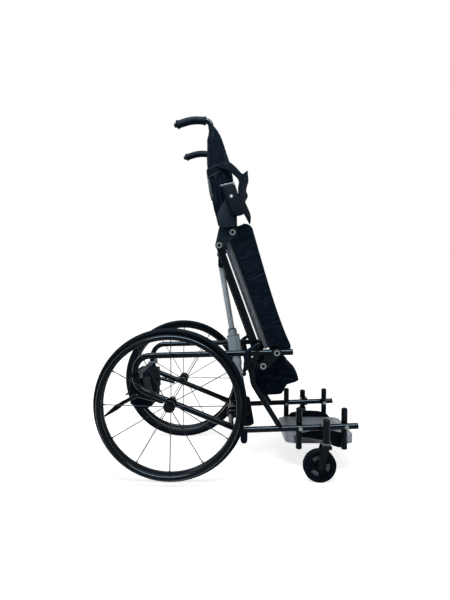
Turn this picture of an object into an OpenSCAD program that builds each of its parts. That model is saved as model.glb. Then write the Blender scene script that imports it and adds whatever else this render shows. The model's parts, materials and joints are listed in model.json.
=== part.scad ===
// Standing wheelchair, shown raised: a seat and a backrest on a parallel linkage
// that a central linear actuator lifts. Millimetres. The chair faces +X, its left is +Y.
// Places along X are measured from the rear axle and places along Z from the floor.

/* [Rear wheels] */
// Diameter of the rear wheel over the tyre
wheel_d = 590; // [570:1:600]
// Distance of the rear tyres' middle planes outside the side frames
wheel_out = 66; // [65:1:92]
// Thickness of the rear tyre
tyre_t = 25; // [22:0.5:28]
// Height of the tyre above the rim
tyre_h = 20; // [18:0.5:21]
// Depth of the rim
rim_h = 18; // [14:0.5:24]
// Width of the rim
rim_w = 22; // [18:0.5:24]
// Number of spokes in a rear wheel
spoke_n = 12; // [8:2:24]
// Diameter of a spoke
spoke_d = 3.5; // [2:0.5:5]
// Diameter of the hub flanges
hub_d = 46; // [40:1:60]
// Length of the hub
hub_len = 70; // [60:1:74]
// Diameter of the wheel axle
axle_d = 12.7; // [10:0.1:15]
// Distance of the handrim's tube centre inside the rim's edge
handrim_in = 12; // [8:0.5:16]
// Diameter of the handrim's tube
handrim_d = 20; // [16:0.5:24]
// Distance of the handrim outside the tyre's middle plane
handrim_out = 45; // [40:1:60]

/* [Side frames] */
// Distance between the middle planes of the side frames
frame_w = 416; // [400:1:424]
// Outer diameter of the side tube
tube_d = 24; // [22:0.5:26]
// Wall of the frame tubes
tube_wall = 2; // [1.5:0.1:3]
// Bend radius of the side tube's centre line
loop_r = 60; // [50:1:64]
// Front end of the upper run
top_front_x = 474; // [460:1:490]
// Height of the upper run's front end
top_front_z = 494; // [490:1:500]
// Slope of the upper run, lower at the rear
top_slope = 2; // [0:0.1:3]
// Distance of the rear loop behind the axle
loop_back = 148; // [140:1:160]
// Slope of the diagonal run
diag_slope = 21.8; // [21:0.1:23]
// Distance of the diagonal run below the axle
diag_drop = 6.6; // [4:0.1:9]
// Front end of the lower run
low_front_x = 736; // [725:1:760]
// Height of the lower run's front end
low_front_z = 201; // [196:1:206]
// Slope of the lower run, lower at the rear
low_slope = 2.5; // [1.5:0.1:3]
// Diameter of the leg tube
leg_d = 22; // [20:0.5:23]
// Place of the leg tube on the lower run
leg_foot_x = 434; // [420:1:450]
// Distance of the leg tube's top behind the knee pivot
leg_top_back = 112; // [106:1:118]
// Distance of the leg tube's bend in front of its top
leg_bend_front = 21; // [14:1:28]
// Distance of the leg tube's bend below its top
leg_bend_drop = 123; // [113:1:133]

/* [Lift linkage] */
// Distance of the knee pivot behind the upper run's front end
knee_back = 61; // [56:1:66]
// Distance of the link pivot behind the knee pivot
link_back = 53.5; // [50:0.5:58]
// Distance of the link pivot below the knee pivot
link_drop = 52.5; // [50:0.5:56]
// Length of the seat and the links between their pivots
lift_len = 510; // [505:1:515]
// Lean of the raised seat from upright, in degrees
stand_lean = 20.4; // [19:0.1:22]
// Turn of the seat from raised to sitting, in degrees
lift_turn = 69; // [60:0.5:69.5]
// Diameter of the pivot bolts
pivot_d = 12; // [10:0.5:14]
// Diameter of the ring heads on the pivot bolts
ring_d = 24; // [20:0.5:26]
// Thickness of the ring heads
ring_t = 3.5; // [2.5:0.1:4.5]
// Thickness of the seat's side bars and of the links
bar_t = 14; // [10:0.5:16]
// Width of a link
link_w = 28; // [24:0.5:30]
// Thickness of the bracket plates
bracket_t = 6; // [5:0.5:7]

/* [Seat] */
// Depth of a side bar behind the pivot line
bar_rear = 20; // [16:0.5:22]
// Depth of a side bar in front of the pivot line
bar_front = 25; // [22:0.5:28]
// Diameter of the seat's rail and cross tubes
rail_d = 20; // [16:0.5:21]
// Overhang of the seat cushion past the hip pivots
cushion_top_over = 9; // [0:1:12]
// Overhang of the seat cushion past the knee pivots
cushion_low_over = 13; // [5:1:14]
// Distance of the cushion's sides inside the side bars' outer faces
cushion_inset = 0; // [0:1:10]
// Thickness of the seat cushion at its edges
cushion_t = 45; // [38:1:46]
// Rise of the cushion's crown above its edges
cushion_crown = 8; // [4:1:9]
// Number of cross channels in the cushion
channel_n = 8; // [5:1:10]
// Depth of a cross channel
channel_depth = 5; // [2:0.5:7]

/* [Backrest] */
// Distance of the canes' feet behind the hip pivots
cane_back = 31; // [27:0.5:35]
// Distance of the canes' feet above the hip pivots
cane_up = 25; // [22:0.5:30]
// Lean of the canes from upright, in degrees
cane_lean = 8.5; // [7:0.1:10]
// Length of a cane up to the push handle's corner
cane_len = 417.5; // [405:0.5:430]
// Diameter of the canes
cane_d = 22; // [20:0.5:24]
// Bend radius of the push handles
handle_r = 20; // [18:1:26]
// Length of a push handle's front half
handle_front_len = 69; // [62:1:76]
// Rise of a push handle's front half, in degrees
handle_rise = 4.5; // [0:0.5:8]
// Length of a push handle's rear half
handle_rear_len = 71; // [64:1:78]
// Droop of a push handle's rear half, in degrees
handle_droop = 18; // [10:0.5:22]
// Diameter of the push grips
grip_d = 31; // [28:0.5:36]
// Height along the canes where the upholstery starts
back_low = 62; // [60:1:70]
// Distance of the upholstery's upper end below the push handle's corner
back_top_gap = 25.5; // [23:0.5:40]
// Depth of the upholstery in front of the canes
back_front = 52; // [46:1:54]
// Depth of the upholstery behind the canes
back_rear = 33; // [28:1:36]
// Cover of the upholstery outside the canes
sleeve_t = 7; // [5:0.5:9]

/* [Actuator] */
// Place of the actuator's lower pivot
drive_x = 303; // [299:1:307]
// Height of the actuator's lower pivot
drive_z = 205; // [202:1:208]
// Distance of the actuator's upper pin below the link's upper pivot
drive_drop = 64; // [61:1:67]
// Distance of the actuator's upper pin behind the link's line
drive_off = 17; // [15:0.5:19]
// Diameter of the actuator's rod
rod_d = 25; // [20:0.5:26]
// Diameter of the actuator's outer tube
sleeve_d = 30; // [28:0.5:34]
// Diameter of the motor housing
motor_d = 56; // [50:1:58]
// Length of the motor housing above its pivot
motor_up = 59; // [50:1:64]
// Length of the motor housing below its pivot
motor_down = 66; // [55:1:70]
// Place of the guide head along the actuator
head_at = 257; // [250:1:262]
// Length of the guide head
head_len = 85; // [80:1:90]
// Width of the guide head
head_w = 56; // [46:1:60]
// Length of the cap on the guide head
head_cap_len = 26; // [20:1:30]

/* [Footrest] */
// Rear edge of the footplate
plate_rear_x = 464; // [455:1:475]
// Front edge of the footplate
plate_front_x = 748; // [740:1:765]
// Gap between the footplate and its posts
plate_gap = 33; // [22:1:50]
// Height of the footplate's underside
plate_low_z = 106; // [102:1:110]
// Thickness of the footplate
plate_t = 34; // [30:1:38]
// Number of grooves in the footplate's top
groove_n = 11; // [7:1:13]
// Diameter of the posts that carry the footplate
post_d = 25; // [22:0.5:26]
// Place of the rear posts
post_rear_x = 510; // [505:1:518]
// Place of the front posts
post_front_x = 693; // [688:1:698]
// Lower end of the posts
post_low_z = 97; // [92:1:102]
// Upper end of the posts
post_top_z = 268; // [255:1:280]
// Diameter of the footplate's cross bars
bar_d = 16; // [14:0.5:18]

/* [Casters] */
// Diameter of a caster wheel
caster_d = 127; // [122:1:130]
// Width of a caster wheel
caster_t = 30; // [26:0.5:32]
// Distance of the caster stems outside the side frames
caster_out = 54; // [51:1:62]
// Place of the caster stems
caster_x = 603; // [595:1:612]
// Distance of the caster's axle behind its stem
caster_trail = 26; // [22:0.5:28]
// Diameter of the caster stem
stem_d = 12; // [10:0.5:14]
// Diameter of the stem housing
housing_d = 27; // [24:0.5:30]
// Lower end of the stem housing
housing_low_z = 156; // [152:1:160]
// Upper end of the stem housing
housing_top_z = 245; // [235:1:255]

/* [Wheel locks] */
// Distance of the lock lever's pivot behind the leg tube's top
lock_back = 7; // [5:0.5:9]
// Distance of the lock lever's pivot below the upper run
lock_drop = 47; // [44:0.5:50]
// Diameter of the lock lever
lever_d = 11; // [9:0.5:12]
// Diameter of the lock's shoe
shoe_d = 16; // [14:0.5:18]
// Gap between the shoe and the tyre when released
shoe_gap = 5; // [4.8:0.1:6]

/* [Battery bag] */
// Length of the bag across the chair
bag_w = 250; // [230:1:300]
// Length of the bag's full belly across the chair
bag_belly_w = 170; // [165:1:200]
// Height of the bag
bag_h = 165; // [155:1:175]
// Depth of the bag
bag_depth = 140; // [130:1:150]

/* [Hidden] */
$fn = 64;

// Overrun of every cut
over = 1;
// Radial clearance of pins in their bores
run_fit = 0.05;
// Clearance between pieces that seat on each other
seat_fit = 0.3;
// Gap at the seams where a straight run meets a bend
seam = 0.02;
// Gap between the ring heads and the side tube they pass
head_gap = 1;
// Gap between the back brackets and the bars beside them
bar_gap = 2.5;

// Middle of the chair along X, which becomes the origin
mid_x = (plate_front_x - wheel_d / 2) / 2;
axle_z = wheel_d / 2;
track_w = frame_w + 2 * wheel_out;
caster_w = frame_w + 2 * caster_out;

// Layers across the chair, from the side tubes inwards
side_y = frame_w / 2;
tube_in = side_y - tube_d / 2;
tube_out = side_y + tube_d / 2;
bracket_out = tube_in - head_gap - ring_t;
bracket_in = bracket_out - bracket_t;
bar_out = bracket_in - bar_gap;
bar_in = bar_out - bar_t;
plate_out = tube_out + seat_fit + bracket_t;

// Points of the side tube's centre line
function on_top(x) = [x, top_front_z - (top_front_x - x) * tan(top_slope)];
function on_low(x) = [x, low_front_z - (low_front_x - x) * tan(low_slope)];
function on_diag(x) = [x, axle_z - diag_drop - x * tan(diag_slope)];
low_corner_x = (axle_z - diag_drop - low_front_z + low_front_x * tan(low_slope))
    / (tan(diag_slope) + tan(low_slope));
function on_side(x) = x < low_corner_x ? on_diag(x) : on_low(x);
loop_points = [on_top(top_front_x), on_top(-loop_back), on_diag(-loop_back),
    on_low(low_corner_x), on_low(low_front_x)];
// Share of the rear loop's height that its two bends may take
bend_share = 0.95;
loop_bends = [tan((90 - top_slope) / 2), tan((90 - diag_slope) / 2)];
loop_h = loop_points[1][1] - loop_points[2][1];
side_r = min(loop_r, bend_share * loop_h / (loop_bends[0] + loop_bends[1]));
knee_x = top_front_x - knee_back;
leg_top = on_top(knee_x - leg_top_back);
leg_bend = leg_top + [leg_bend_front, -leg_bend_drop];
leg_points = [on_low(leg_foot_x), leg_bend, leg_top];

// Pivots of the lift linkage, raised
knee = on_top(knee_x);
link_foot = knee - [link_back, link_drop];
lift_dir = [-sin(stand_lean), cos(stand_lean)];
lift_normal = [cos(stand_lean), sin(stand_lean)];
hip = knee + lift_len * lift_dir;
link_head = link_foot + lift_len * lift_dir;

// Actuator: its pin on the link, and the pin's path in the slot of the rod's eye.
// The rod turns and slides in step with the seat, so the pin runs along the slot in mid travel.
drive_foot = [drive_x, drive_z];
drive_up = lift_len - drive_drop;
drive_pin = link_foot + drive_up * lift_dir - drive_off * lift_normal;
function turned(p, a) = [p[0] * cos(a) - p[1] * sin(a), p[0] * sin(a) + p[1] * cos(a)];
function pin_at(a) = link_foot + turned(drive_pin - link_foot, a);
function drive_angle(a) = atan2(pin_at(a)[1] - drive_z, pin_at(a)[0] - drive_x);
function drive_length(a) = norm(pin_at(a) - drive_foot);
drive_len = drive_length(0);
drive_lean = drive_angle(0) - 90;
drive_turn = drive_angle(lift_turn) - drive_angle(0);
drive_stroke = drive_len - drive_length(lift_turn);
half_angle = drive_angle(0) + drive_turn / 2;
half_pin = turned(pin_at(lift_turn / 2) - drive_foot, 90 - half_angle);
slot_end = [half_pin[0], half_pin[1] + drive_stroke / 2];
pin_d = 10;
slot_play = 1.6;
eye_wall = 5.5;
eye_r = pin_d / 2 + slot_play + eye_wall;
eye_t = 20;
cheek_gap = 2;
cheek_t = 5;
link_tube_d = 22;
link_tube_rise = 42;

// Small sizes of the frame
boss_d = 32;
boss_in = tube_in - head_gap;
hub_in = track_w / 2 - hub_len / 2;
boss_out = hub_in - seat_fit;
axle_head_d = 26;
axle_head_t = 6;
bolt_d = 8;
bolt_head_d = 16;
bolt_head_t = 4;
cap_t = 4;
plug_len = 12;
dome_h = 6;
stub_x = 287;
stub_d = 28;
stub_low_z = 127;
cross_back = 67;
cross_at = on_side(drive_x - cross_back);
cross_d = 22;
trunnion_d = 14;
trunnion_t = 6;
trunnion_gap = 3;
trunnion_r = 15;
leg_cross_drop = 20;
leg_cross_z = leg_bend[1] - leg_cross_drop;
leg_cross_d = 20;
spacer_d = 22;
knee_plate_r = 19;
nut_d = 19;
nut_t = 7;
nut_gap = 1;
ring_bore = 11;
ring_bore_depth = 2;

// Tipping levers
tip_d = 16;
tip_bend_r = 30;
tip_start_x = -36;
tip_start_drop = 10;
tip_crest_x = -144;
tip_crest_drop = -17;
tip_knee_x = -202;
tip_knee_drop = 15;
tip_end_x = -268;
tip_end_drop = 64;
tip_sleeve_d = 22;
tip_sleeve_len = 66;
tip_lug_d = 14;
tip_lug_xs = [-48, -84];
tip_lug_drop = 17;

// Small sizes of the seat
bar_end = 22;
rail_start = 22;
rail_stop = lift_len - rail_start;
rail_y = bar_in - rail_d / 2 - bar_gap;
rail_x = -bar_rear - rail_d / 2 + bar_gap;
cross_shares = [0.12, 0.5, 0.88];
base_start = -6;
base_gap = 0.2;
cushion_len = lift_len + cushion_low_over + cushion_top_over;
cushion_w = 2 * (bar_out - cushion_inset);
cushion_rows = 40;
cushion_sides = 24;

// Small sizes of the backrest
cane_y = bracket_out + cane_d / 2;
cane_bolt_ups = [17, 42];
cane_bolt_d = 6;
cane_nut_t = 5;
bracket_r = 16;
bracket_top_up = 48;
bracket_top_len = 36;
bracket_top_r = 12;
back_len = cane_len - back_top_gap - back_low;
back_half_w = cane_y + cane_d / 2 + sleeve_t;
back_rows = 16;
fold_depth = 2;
back_mid_rear = 9;
handle_arch_r = 150;
grip_flare = 2;
bar_at = 226;
back_bar_d = 16;
box_w = 120;
box_h = 100;
box_depth = 36;
box_r = 8;
belt_w = 34;
belt_t = 5;
belt_r = 34;
belt_start = [4, 196];
belt_corner = [94, 232];
belt_end = [112, 100];
belt_tail_w = 20;
belt_tail_end = [134, 26];
control_t = 24;
control_low = 46;
control_top_rear = 148;
control_top_front = 152;
control_rear = 4;
control_front = 60;
control_low_front = 50;
clip_d = 7;
button_d = 10;
button_at = [40, 103];
button_out = 2;
button_travel = 1.5;
button_fit = 0.2;
button_stem = 4;

// Small sizes of the footrest
post_y = tube_in - post_d / 2 - seat_fit;
plate_w = 2 * (post_y - post_d / 2 - plate_gap);
bar_z = plate_low_z + plate_t / 2;
plate_corner_r = 32;
groove_w = 9;
groove_depth = 3;
side_groove_h = 6;
guard_t = 5;
guard_y = (plate_w / 2 + post_y - post_d / 2) / 2;
guard_low_z = 96;
guard_h = 70;
guard_rear_x = 516;
guard_len = 200;
// Outline of a foot guard as shares of its length and height
guard_shares = [[0, 0.62], [0.22, 0.56], [0.48, 0.42], [0.7, 0.1], [0.82, 0], [0.94, 0.06], [1, 0.3],
    [0.98, 0.62], [0.9, 0.84], [0.72, 0.97], [0.5, 1], [0.25, 0.96], [0.06, 0.84]];

// Small sizes of the casters
arm_h = 34;
arm_l = 30;
housing_bore_top = 9;
collar_d = 34;
fork_gap = 2;
fork_t = 5;
crown_h = 12;
crown_gap = 3;
crown_l = 34;
fork_top_r = 15;
fork_low_r = 12;
caster_axle_d = 8;
caster_bolt_d = 15;
caster_bolt_t = 4;
caster_tyre_h = 14;
caster_round = 5;
caster_hub_d = 30;
caster_web_t = 12;
caster_window_n = 3;
caster_window_d = 20;
caster_window_turn = 34;

// Small sizes of the wheel locks
lock_plate_t = 5;
lock_plate_r = 15;
lock_pin_d = 8;
lock_hub_d = 22;
lever_elbow = [-8, 50];
lever_tip = [46, 86];
lever_bend_r = 30;
lever_grip_d = 16;
lever_inset = 1;
shoe_angle = 23.2;
shoe_len = 44;
lock_arm_t = 6;

// Small sizes of the actuator
tube_bore_fit = 0.4;
rod_seat = 70;
head_depth = 48;
head_cap_d = 40;
head_corner_r = 10;
motor_round = 10;
collar_at = 208;
collar_len = 31;
sleeve_collar_d = 38;

// Small sizes of the bag and its battery
bag_round = 15;
bag_belly_r = 46;
bag_belly_shares = [0.36, 0.68];
battery_w = 160;
battery_depth = 94;
battery_h = 92;
battery_lift = 26;
strap_wrap_t = 3;
strap_wrap_h = 17;
strap_wrap_gap = 2;
strap_rise = 0.8;
strap_band_w = 24;

// Calf pad
pad_w = 284;
pad_back = 8.6;
pad_len = 188;
pad_low = 44;
pad_rear_x = on_leg(leg_cross_z)[0] - pad_back;
pad_low_z = leg_cross_z - pad_low;
pad_h = 159;
pad_rows = 11;
pad_round_share = 0.16;
pad_mid_share = 0.5;
// Outline of the calf pad as shares of its length and height
pad_shares = [[0.02, 0.45], [0.1, 0.2], [0.2, 0.08], [0.4, 0], [0.64, 0.05], [0.74, 0.26], [0.9, 0.36],
    [1, 0.42], [0.96, 0.58], [0.9, 0.77], [0.82, 0.79], [0.72, 0.86], [0.66, 1], [0.5, 1.02], [0.36, 0.92],
    [0.16, 0.82], [0.05, 0.68]];

// Rear wheel
tyre_r = wheel_d / 2 - tyre_t / 2;
rim_r = wheel_d / 2 - tyre_h;
handrim_r = rim_r - handrim_in;
hub_barrel_d = 32;
flange_t = 6;
flange_in = 6;
spoke_rim_y = 3;
tab_n = 6;
tab_d = 8;

// Geometry helpers
function heading(p, q) = atan2(q[1] - p[1], q[0] - p[0]);
function ahead(p, a, s) = p + s * [cos(a), sin(a)];
function wrapped(t) = t > 180 ? t - 360 : t < -180 ? t + 360 : t;
function bend_turn(pts, i) = wrapped(heading(pts[i], pts[i + 1]) - heading(pts[i - 1], pts[i]));
// Radius of a path's bend at a point, from one radius or from one for each point
function radius_at(r, i) = is_list(r) ? r[i] : r;
function setback(pts, i, r) =
    i == 0 || i == len(pts) - 1 ? 0 : radius_at(r, i) * tan(abs(bend_turn(pts, i)) / 2);
function arc(c, r, a, b, n) =
    [for (i = [0 : n]) let (t = a + (b - a) * i / n) c + r * [cos(t), sin(t)]];
function capsule(p, q, r, s, n = 12) =
    let (a = heading(p, q), b = acos((r - s) / norm(q - p)))
    concat(arc(p, r, a + b, a + 360 - b, n), arc(q, s, a - b, a + b, n));
function rounded(x, y, r, n = 6) = concat(
    arc([x / 2 - r, y / 2 - r], r, 0, 90, n), arc([r - x / 2, y / 2 - r], r, 90, 180, n),
    arc([r - x / 2, r - y / 2], r, 180, 270, n), arc([x / 2 - r, r - y / 2], r, 270, 360, n));
function scaled_points(shares, size, at) =
    [for (s = shares) [at[0] + s[0] * size[0], at[1] + s[1] * size[1]]];
function mean(pts) = [for (k = [0 : 2]) [for (p = pts) p[k]] * [for (p = pts) 1] / len(pts)];

module placed() { translate([-mid_x, 0, 0]) children(); }
module at_left() { placed() children(); }
module at_right() { placed() mirror([0, 1, 0]) children(); }
module at_both() { at_left() children(); at_right() children(); }

// Round bar across the chair at a point of the x-z plane
module y_rod(p, y0, y1, d) {
    translate([p[0], y0, p[1]]) rotate([-90, 0, 0]) cylinder(h = y1 - y0, d = d);
}
// Plate of an x-z outline between two planes across the chair
module y_plate(pts, y0, y1) {
    translate([0, y1, 0]) rotate([90, 0, 0]) linear_extrude(height = y1 - y0) polygon(pts);
}
// Section swept along points of the x-z plane with round bends
module bent(pts, r) {
    translate([pts[0][0], 0, pts[0][1]]) rotate([0, 90 - heading(pts[0], pts[1]), 0])
        bent_run(pts, r, 0) children();
}
// One straight run of a swept section, and all that follows it, along its own Z
module bent_run(pts, r, i) {
    run = norm(pts[i + 1] - pts[i]) - setback(pts, i, r) - setback(pts, i + 1, r);
    start = i > 0 ? seam : 0;
    stop = i < len(pts) - 2 ? run - seam : run;
    translate([0, 0, start]) linear_extrude(height = stop - start) children();
    if (i < len(pts) - 2) {
        t = bend_turn(pts, i + 1);
        bend_r = radius_at(r, i + 1);
        c = -sign(t) * bend_r;
        translate([c, 0, run]) rotate([90, 0, t < 0 ? 180 : 0])
            rotate_extrude(angle = abs(t)) translate([bend_r, 0]) children();
        translate([c, 0, run]) rotate([0, -t, 0]) translate([-c, 0, 0])
            bent_run(pts, r, i + 1) children();
    }
}
module pipe(d, wall) {
    difference() {
        circle(d = d);
        circle(d = d - 2 * wall);
    }
}
// Straight solid along one run of the side tube, used to cope what meets it
module side_run(p, q) {
    translate([0, side_y, 0]) bent([p, q], loop_r) circle(d = tube_d);
}
// Soft solid through rings of points
module loft(rings) {
    n = len(rings[0]);
    m = len(rings);
    points = concat([for (r = rings) each r], [mean(rings[0]), mean(rings[m - 1])]);
    sides = [for (j = [0 : m - 2]) for (i = [0 : n - 1]) let (k = (i + 1) % n) each [
        [j * n + i, (j + 1) * n + i, j * n + k], [j * n + k, (j + 1) * n + i, (j + 1) * n + k]]];
    first = [for (i = [0 : n - 1]) [m * n, i, (i + 1) % n]];
    last = [for (i = [0 : n - 1]) [m * n + 1, (m - 1) * n + (i + 1) % n, (m - 1) * n + i]];
    polyhedron(points = points, faces = concat(sides, first, last));
}
// Frames of the seat, the links, the backrest and the actuator: X to the front, Z along the piece
module on_seat() { translate([knee[0], 0, knee[1]]) rotate([0, -stand_lean, 0]) children(); }
module on_link() { translate([link_foot[0], 0, link_foot[1]]) rotate([0, -stand_lean, 0]) children(); }
module on_back() { translate([cane_foot[0], 0, cane_foot[1]]) rotate([0, -cane_lean, 0]) children(); }
module on_drive() { translate([drive_x, 0, drive_z]) rotate([0, -drive_lean, 0]) children(); }
module mirrored() { children(); mirror([0, 1, 0]) children(); }

// Side frame: one bent tube with the axle boss through its diagonal run
module side_frame() {
    color("#1d1f22") difference() {
        union() {
            translate([0, side_y, 0]) bent(loop_points, side_r) pipe(tube_d, tube_wall);
            y_rod([0, axle_z], boss_in, boss_out, boss_d);
        }
        y_rod([0, axle_z], boss_in - over, boss_out + over, axle_d + 2 * run_fit);
        y_rod(knee, tube_in - over, tube_out + over, pivot_d + 2 * run_fit);
        for (x = [post_rear_x, post_front_x])
            y_rod(on_low(x), tube_in - over, tube_out + over, bolt_d + 2 * run_fit);
    }
}
module right_side_frame() { at_right() side_frame(); }
module left_side_frame() { at_left() side_frame(); }

module leg_tubes() {
    color("#3a3d41") at_both() difference() {
        translate([0, side_y, 0]) bent(leg_points, loop_r) pipe(leg_d, tube_wall);
        side_run(on_low(low_corner_x + loop_r), on_low(low_front_x));
        side_run(on_top(-loop_back + loop_r), on_top(top_front_x));
    }
}
function on_leg(z) = leg_points[0] + (leg_points[1] - leg_points[0]) * (z - leg_points[0][1])
    / (leg_points[1][1] - leg_points[0][1]);
module leg_cross_tube() {
    color("#1d1f22") placed() difference() {
        y_rod(on_leg(leg_cross_z), -side_y, side_y, leg_cross_d);
        mirrored() translate([0, side_y, 0]) bent([leg_points[0], leg_points[1]], loop_r) circle(d = leg_d);
    }
}

// Lower cross tube with the two plates that hold the actuator's trunnions
module lower_cross_tube() {
    plate_in = motor_d / 2 + trunnion_gap;
    color("#1d1f22") placed() difference() {
        union() {
            y_rod(cross_at, -side_y, side_y, cross_d);
            mirrored() y_plate(capsule(cross_at, drive_foot, cross_d / 2 + trunnion_t, trunnion_r),
                plate_in, plate_in + trunnion_t);
        }
        mirrored() side_run(on_diag(0), on_diag(low_corner_x));
        mirrored() side_run(on_low(low_corner_x), on_low(low_front_x));
        y_rod(drive_foot, -plate_in - trunnion_t - over, plate_in + trunnion_t + over,
            trunnion_d + 2 * run_fit);
    }
}

// Knee brackets: outer plates with the spacer that carries the link's pivot bolt
module knee_brackets() {
    color("#232529") at_both() difference() {
        union() {
            y_plate(capsule(knee, link_foot, knee_plate_r, knee_plate_r), tube_out + seat_fit, plate_out);
            y_rod(link_foot, bar_out + seat_fit, tube_out + bracket_t / 2, spacer_d);
        }
        y_rod(knee, tube_in, plate_out + over, pivot_d + 2 * run_fit);
        y_rod(link_foot, bar_in, plate_out + over, pivot_d + 2 * run_fit);
    }
}
// Pivot bolt with a ring head on its outer end and a nut on its inner one
module pivot_bolt(p, y_in, y_out) {
    difference() {
        union() {
            y_rod(p, y_in - nut_t, y_out + ring_t - ring_bore_depth, pivot_d);
            y_rod(p, y_out, y_out + ring_t, ring_d);
            y_rod(p, y_in - nut_t, y_in, nut_d);
        }
        y_rod(p, y_out + ring_t - ring_bore_depth, y_out + ring_t + over, ring_bore);
    }
}
module post_bolt(p) {
    y_rod(p, post_y - post_d / 2 - bolt_head_t, tube_out + bolt_head_t, bolt_d);
    y_rod(p, tube_out, tube_out + bolt_head_t, bolt_head_d);
    y_rod(p, post_y - post_d / 2 - bolt_head_t, post_y - post_d / 2, bolt_head_d);
}
module frame_bolts() {
    color("silver") at_both() {
        pivot_bolt(knee, bar_in, plate_out);
        pivot_bolt(link_foot, bar_in, plate_out);
        for (x = [post_rear_x, post_front_x]) post_bolt(on_low(x));
    }
}
module end_cap(p, a, d) {
    translate([p[0], side_y, p[1]]) rotate([0, 90 - a, 0]) {
        cylinder(h = cap_t, d = d);
        translate([0, 0, -plug_len]) cylinder(h = plug_len + cap_t / 2, d = d - 2 * tube_wall - 2 * run_fit);
    }
}
// Domed plug in the end of a post
module post_cap() {
    r = post_d / 2;
    ball = (r * r + dome_h * dome_h) / (2 * dome_h);
    intersection() {
        translate([0, 0, dome_h - ball]) sphere(r = ball);
        cylinder(h = dome_h + over, d = post_d);
    }
    translate([0, 0, -plug_len])
        cylinder(h = plug_len + dome_h / 2, d = post_d - 2 * tube_wall - 2 * run_fit);
}
module tube_caps() {
    color("#141516") at_both() {
        end_cap(loop_points[0], heading(loop_points[1], loop_points[0]), tube_d);
        end_cap(loop_points[4], heading(loop_points[3], loop_points[4]), tube_d);
        for (x = [post_rear_x, post_front_x]) {
            translate([x, post_y, post_top_z - dome_h]) post_cap();
            translate([x, post_y, post_low_z + dome_h]) mirror([0, 0, 1]) post_cap();
        }
    }
}
// Feet under the lower runs
module frame_feet() {
    ball = stub_d / 2;
    color("#17181a") at_both() difference() {
        union() {
            translate([stub_x, side_y, stub_low_z + ball])
                cylinder(h = on_side(stub_x)[1] - stub_low_z - ball, d = stub_d);
            translate([stub_x, side_y, stub_low_z + ball]) sphere(r = ball);
        }
        side_run(on_low(low_corner_x), on_low(low_front_x));
        side_run(on_diag(0), on_diag(low_corner_x));
    }
}
module wheel_axles() {
    color("silver") at_both() {
        y_rod([0, axle_z], boss_in, hub_in + hub_len + axle_head_t / 2, axle_d);
        translate([0, seat_fit, 0])
            y_rod([0, axle_z], hub_in + hub_len, hub_in + hub_len + axle_head_t, axle_head_d);
    }
}
// Tipping levers: bent bars beside the diagonal runs, each with a rubber sleeve
module tipping_levers() {
    tip_y = tube_in - tip_d / 2 - seat_fit;
    pts = [[tip_start_x, axle_z - tip_start_drop], [tip_crest_x, axle_z - tip_crest_drop],
        [tip_knee_x, axle_z - tip_knee_drop], [tip_end_x, axle_z - tip_end_drop]];
    sleeve_from = ahead(pts[3], heading(pts[3], pts[2]), tip_sleeve_len);
    color("#191a1c") at_both() difference() {
        union() {
            translate([0, tip_y, 0]) bent(pts, tip_bend_r) circle(d = tip_d);
            translate([0, tip_y, 0])
                bent([sleeve_from, ahead(pts[3], heading(pts[2], pts[3]), cap_t)], tip_bend_r)
                circle(d = tip_sleeve_d);
            for (x = tip_lug_xs) y_rod(on_diag(x) - [0, tip_lug_drop], tip_y, side_y, tip_lug_d);
        }
        side_run(on_diag(-loop_back), on_diag(0));
    }
}

// Footrest
module footplate() {
    mid = (plate_rear_x + plate_front_x) / 2;
    pitch = plate_w / (groove_n + 1);
    color("#a7abae") placed() difference() {
        translate([mid, 0, plate_low_z]) linear_extrude(height = plate_t)
            polygon(rounded(plate_front_x - plate_rear_x, plate_w, plate_corner_r));
        for (i = [1 : groove_n])
            translate([plate_rear_x + plate_corner_r, i * pitch - plate_w / 2 - groove_w / 2,
                plate_low_z + plate_t - groove_depth])
                cube([plate_front_x - plate_rear_x - 2 * plate_corner_r, groove_w, groove_depth + over]);
        for (z = [plate_t / 4, 3 * plate_t / 4]) mirrored()
            translate([plate_rear_x + plate_corner_r, plate_w / 2 - groove_depth,
                plate_low_z + z - side_groove_h / 2])
                cube([plate_front_x - plate_rear_x - 2 * plate_corner_r, groove_depth + over, side_groove_h]);
        for (x = [post_rear_x, post_front_x])
            y_rod([x, bar_z], -plate_w / 2 - over, plate_w / 2 + over, bar_d + 2 * run_fit);
    }
}
module footplate_bars() {
    color("#2a2c2f") placed() for (x = [post_rear_x, post_front_x]) difference() {
        y_rod([x, bar_z], -post_y, post_y, bar_d);
        mirrored() translate([x, post_y, post_low_z]) cylinder(h = post_top_z - post_low_z, d = post_d);
    }
}
module footrest_posts() {
    color("#1d1f22") at_both() for (x = [post_rear_x, post_front_x]) difference() {
        translate([x, post_y, post_low_z + dome_h])
            linear_extrude(height = post_top_z - post_low_z - 2 * dome_h) pipe(post_d, tube_wall);
        y_rod(on_low(x), post_y - post_d, post_y + post_d, bolt_d + 2 * run_fit);
    }
}
module foot_guards() {
    pts = scaled_points(guard_shares, [guard_len, guard_h], [guard_rear_x, guard_low_z]);
    color("#18191b") at_both() difference() {
        y_plate(pts, guard_y - guard_t / 2, guard_y + guard_t / 2);
        for (x = [post_rear_x, post_front_x])
            y_rod([x, bar_z], guard_y - guard_t, guard_y + guard_t, bar_d + 2 * run_fit);
    }
}

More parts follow.
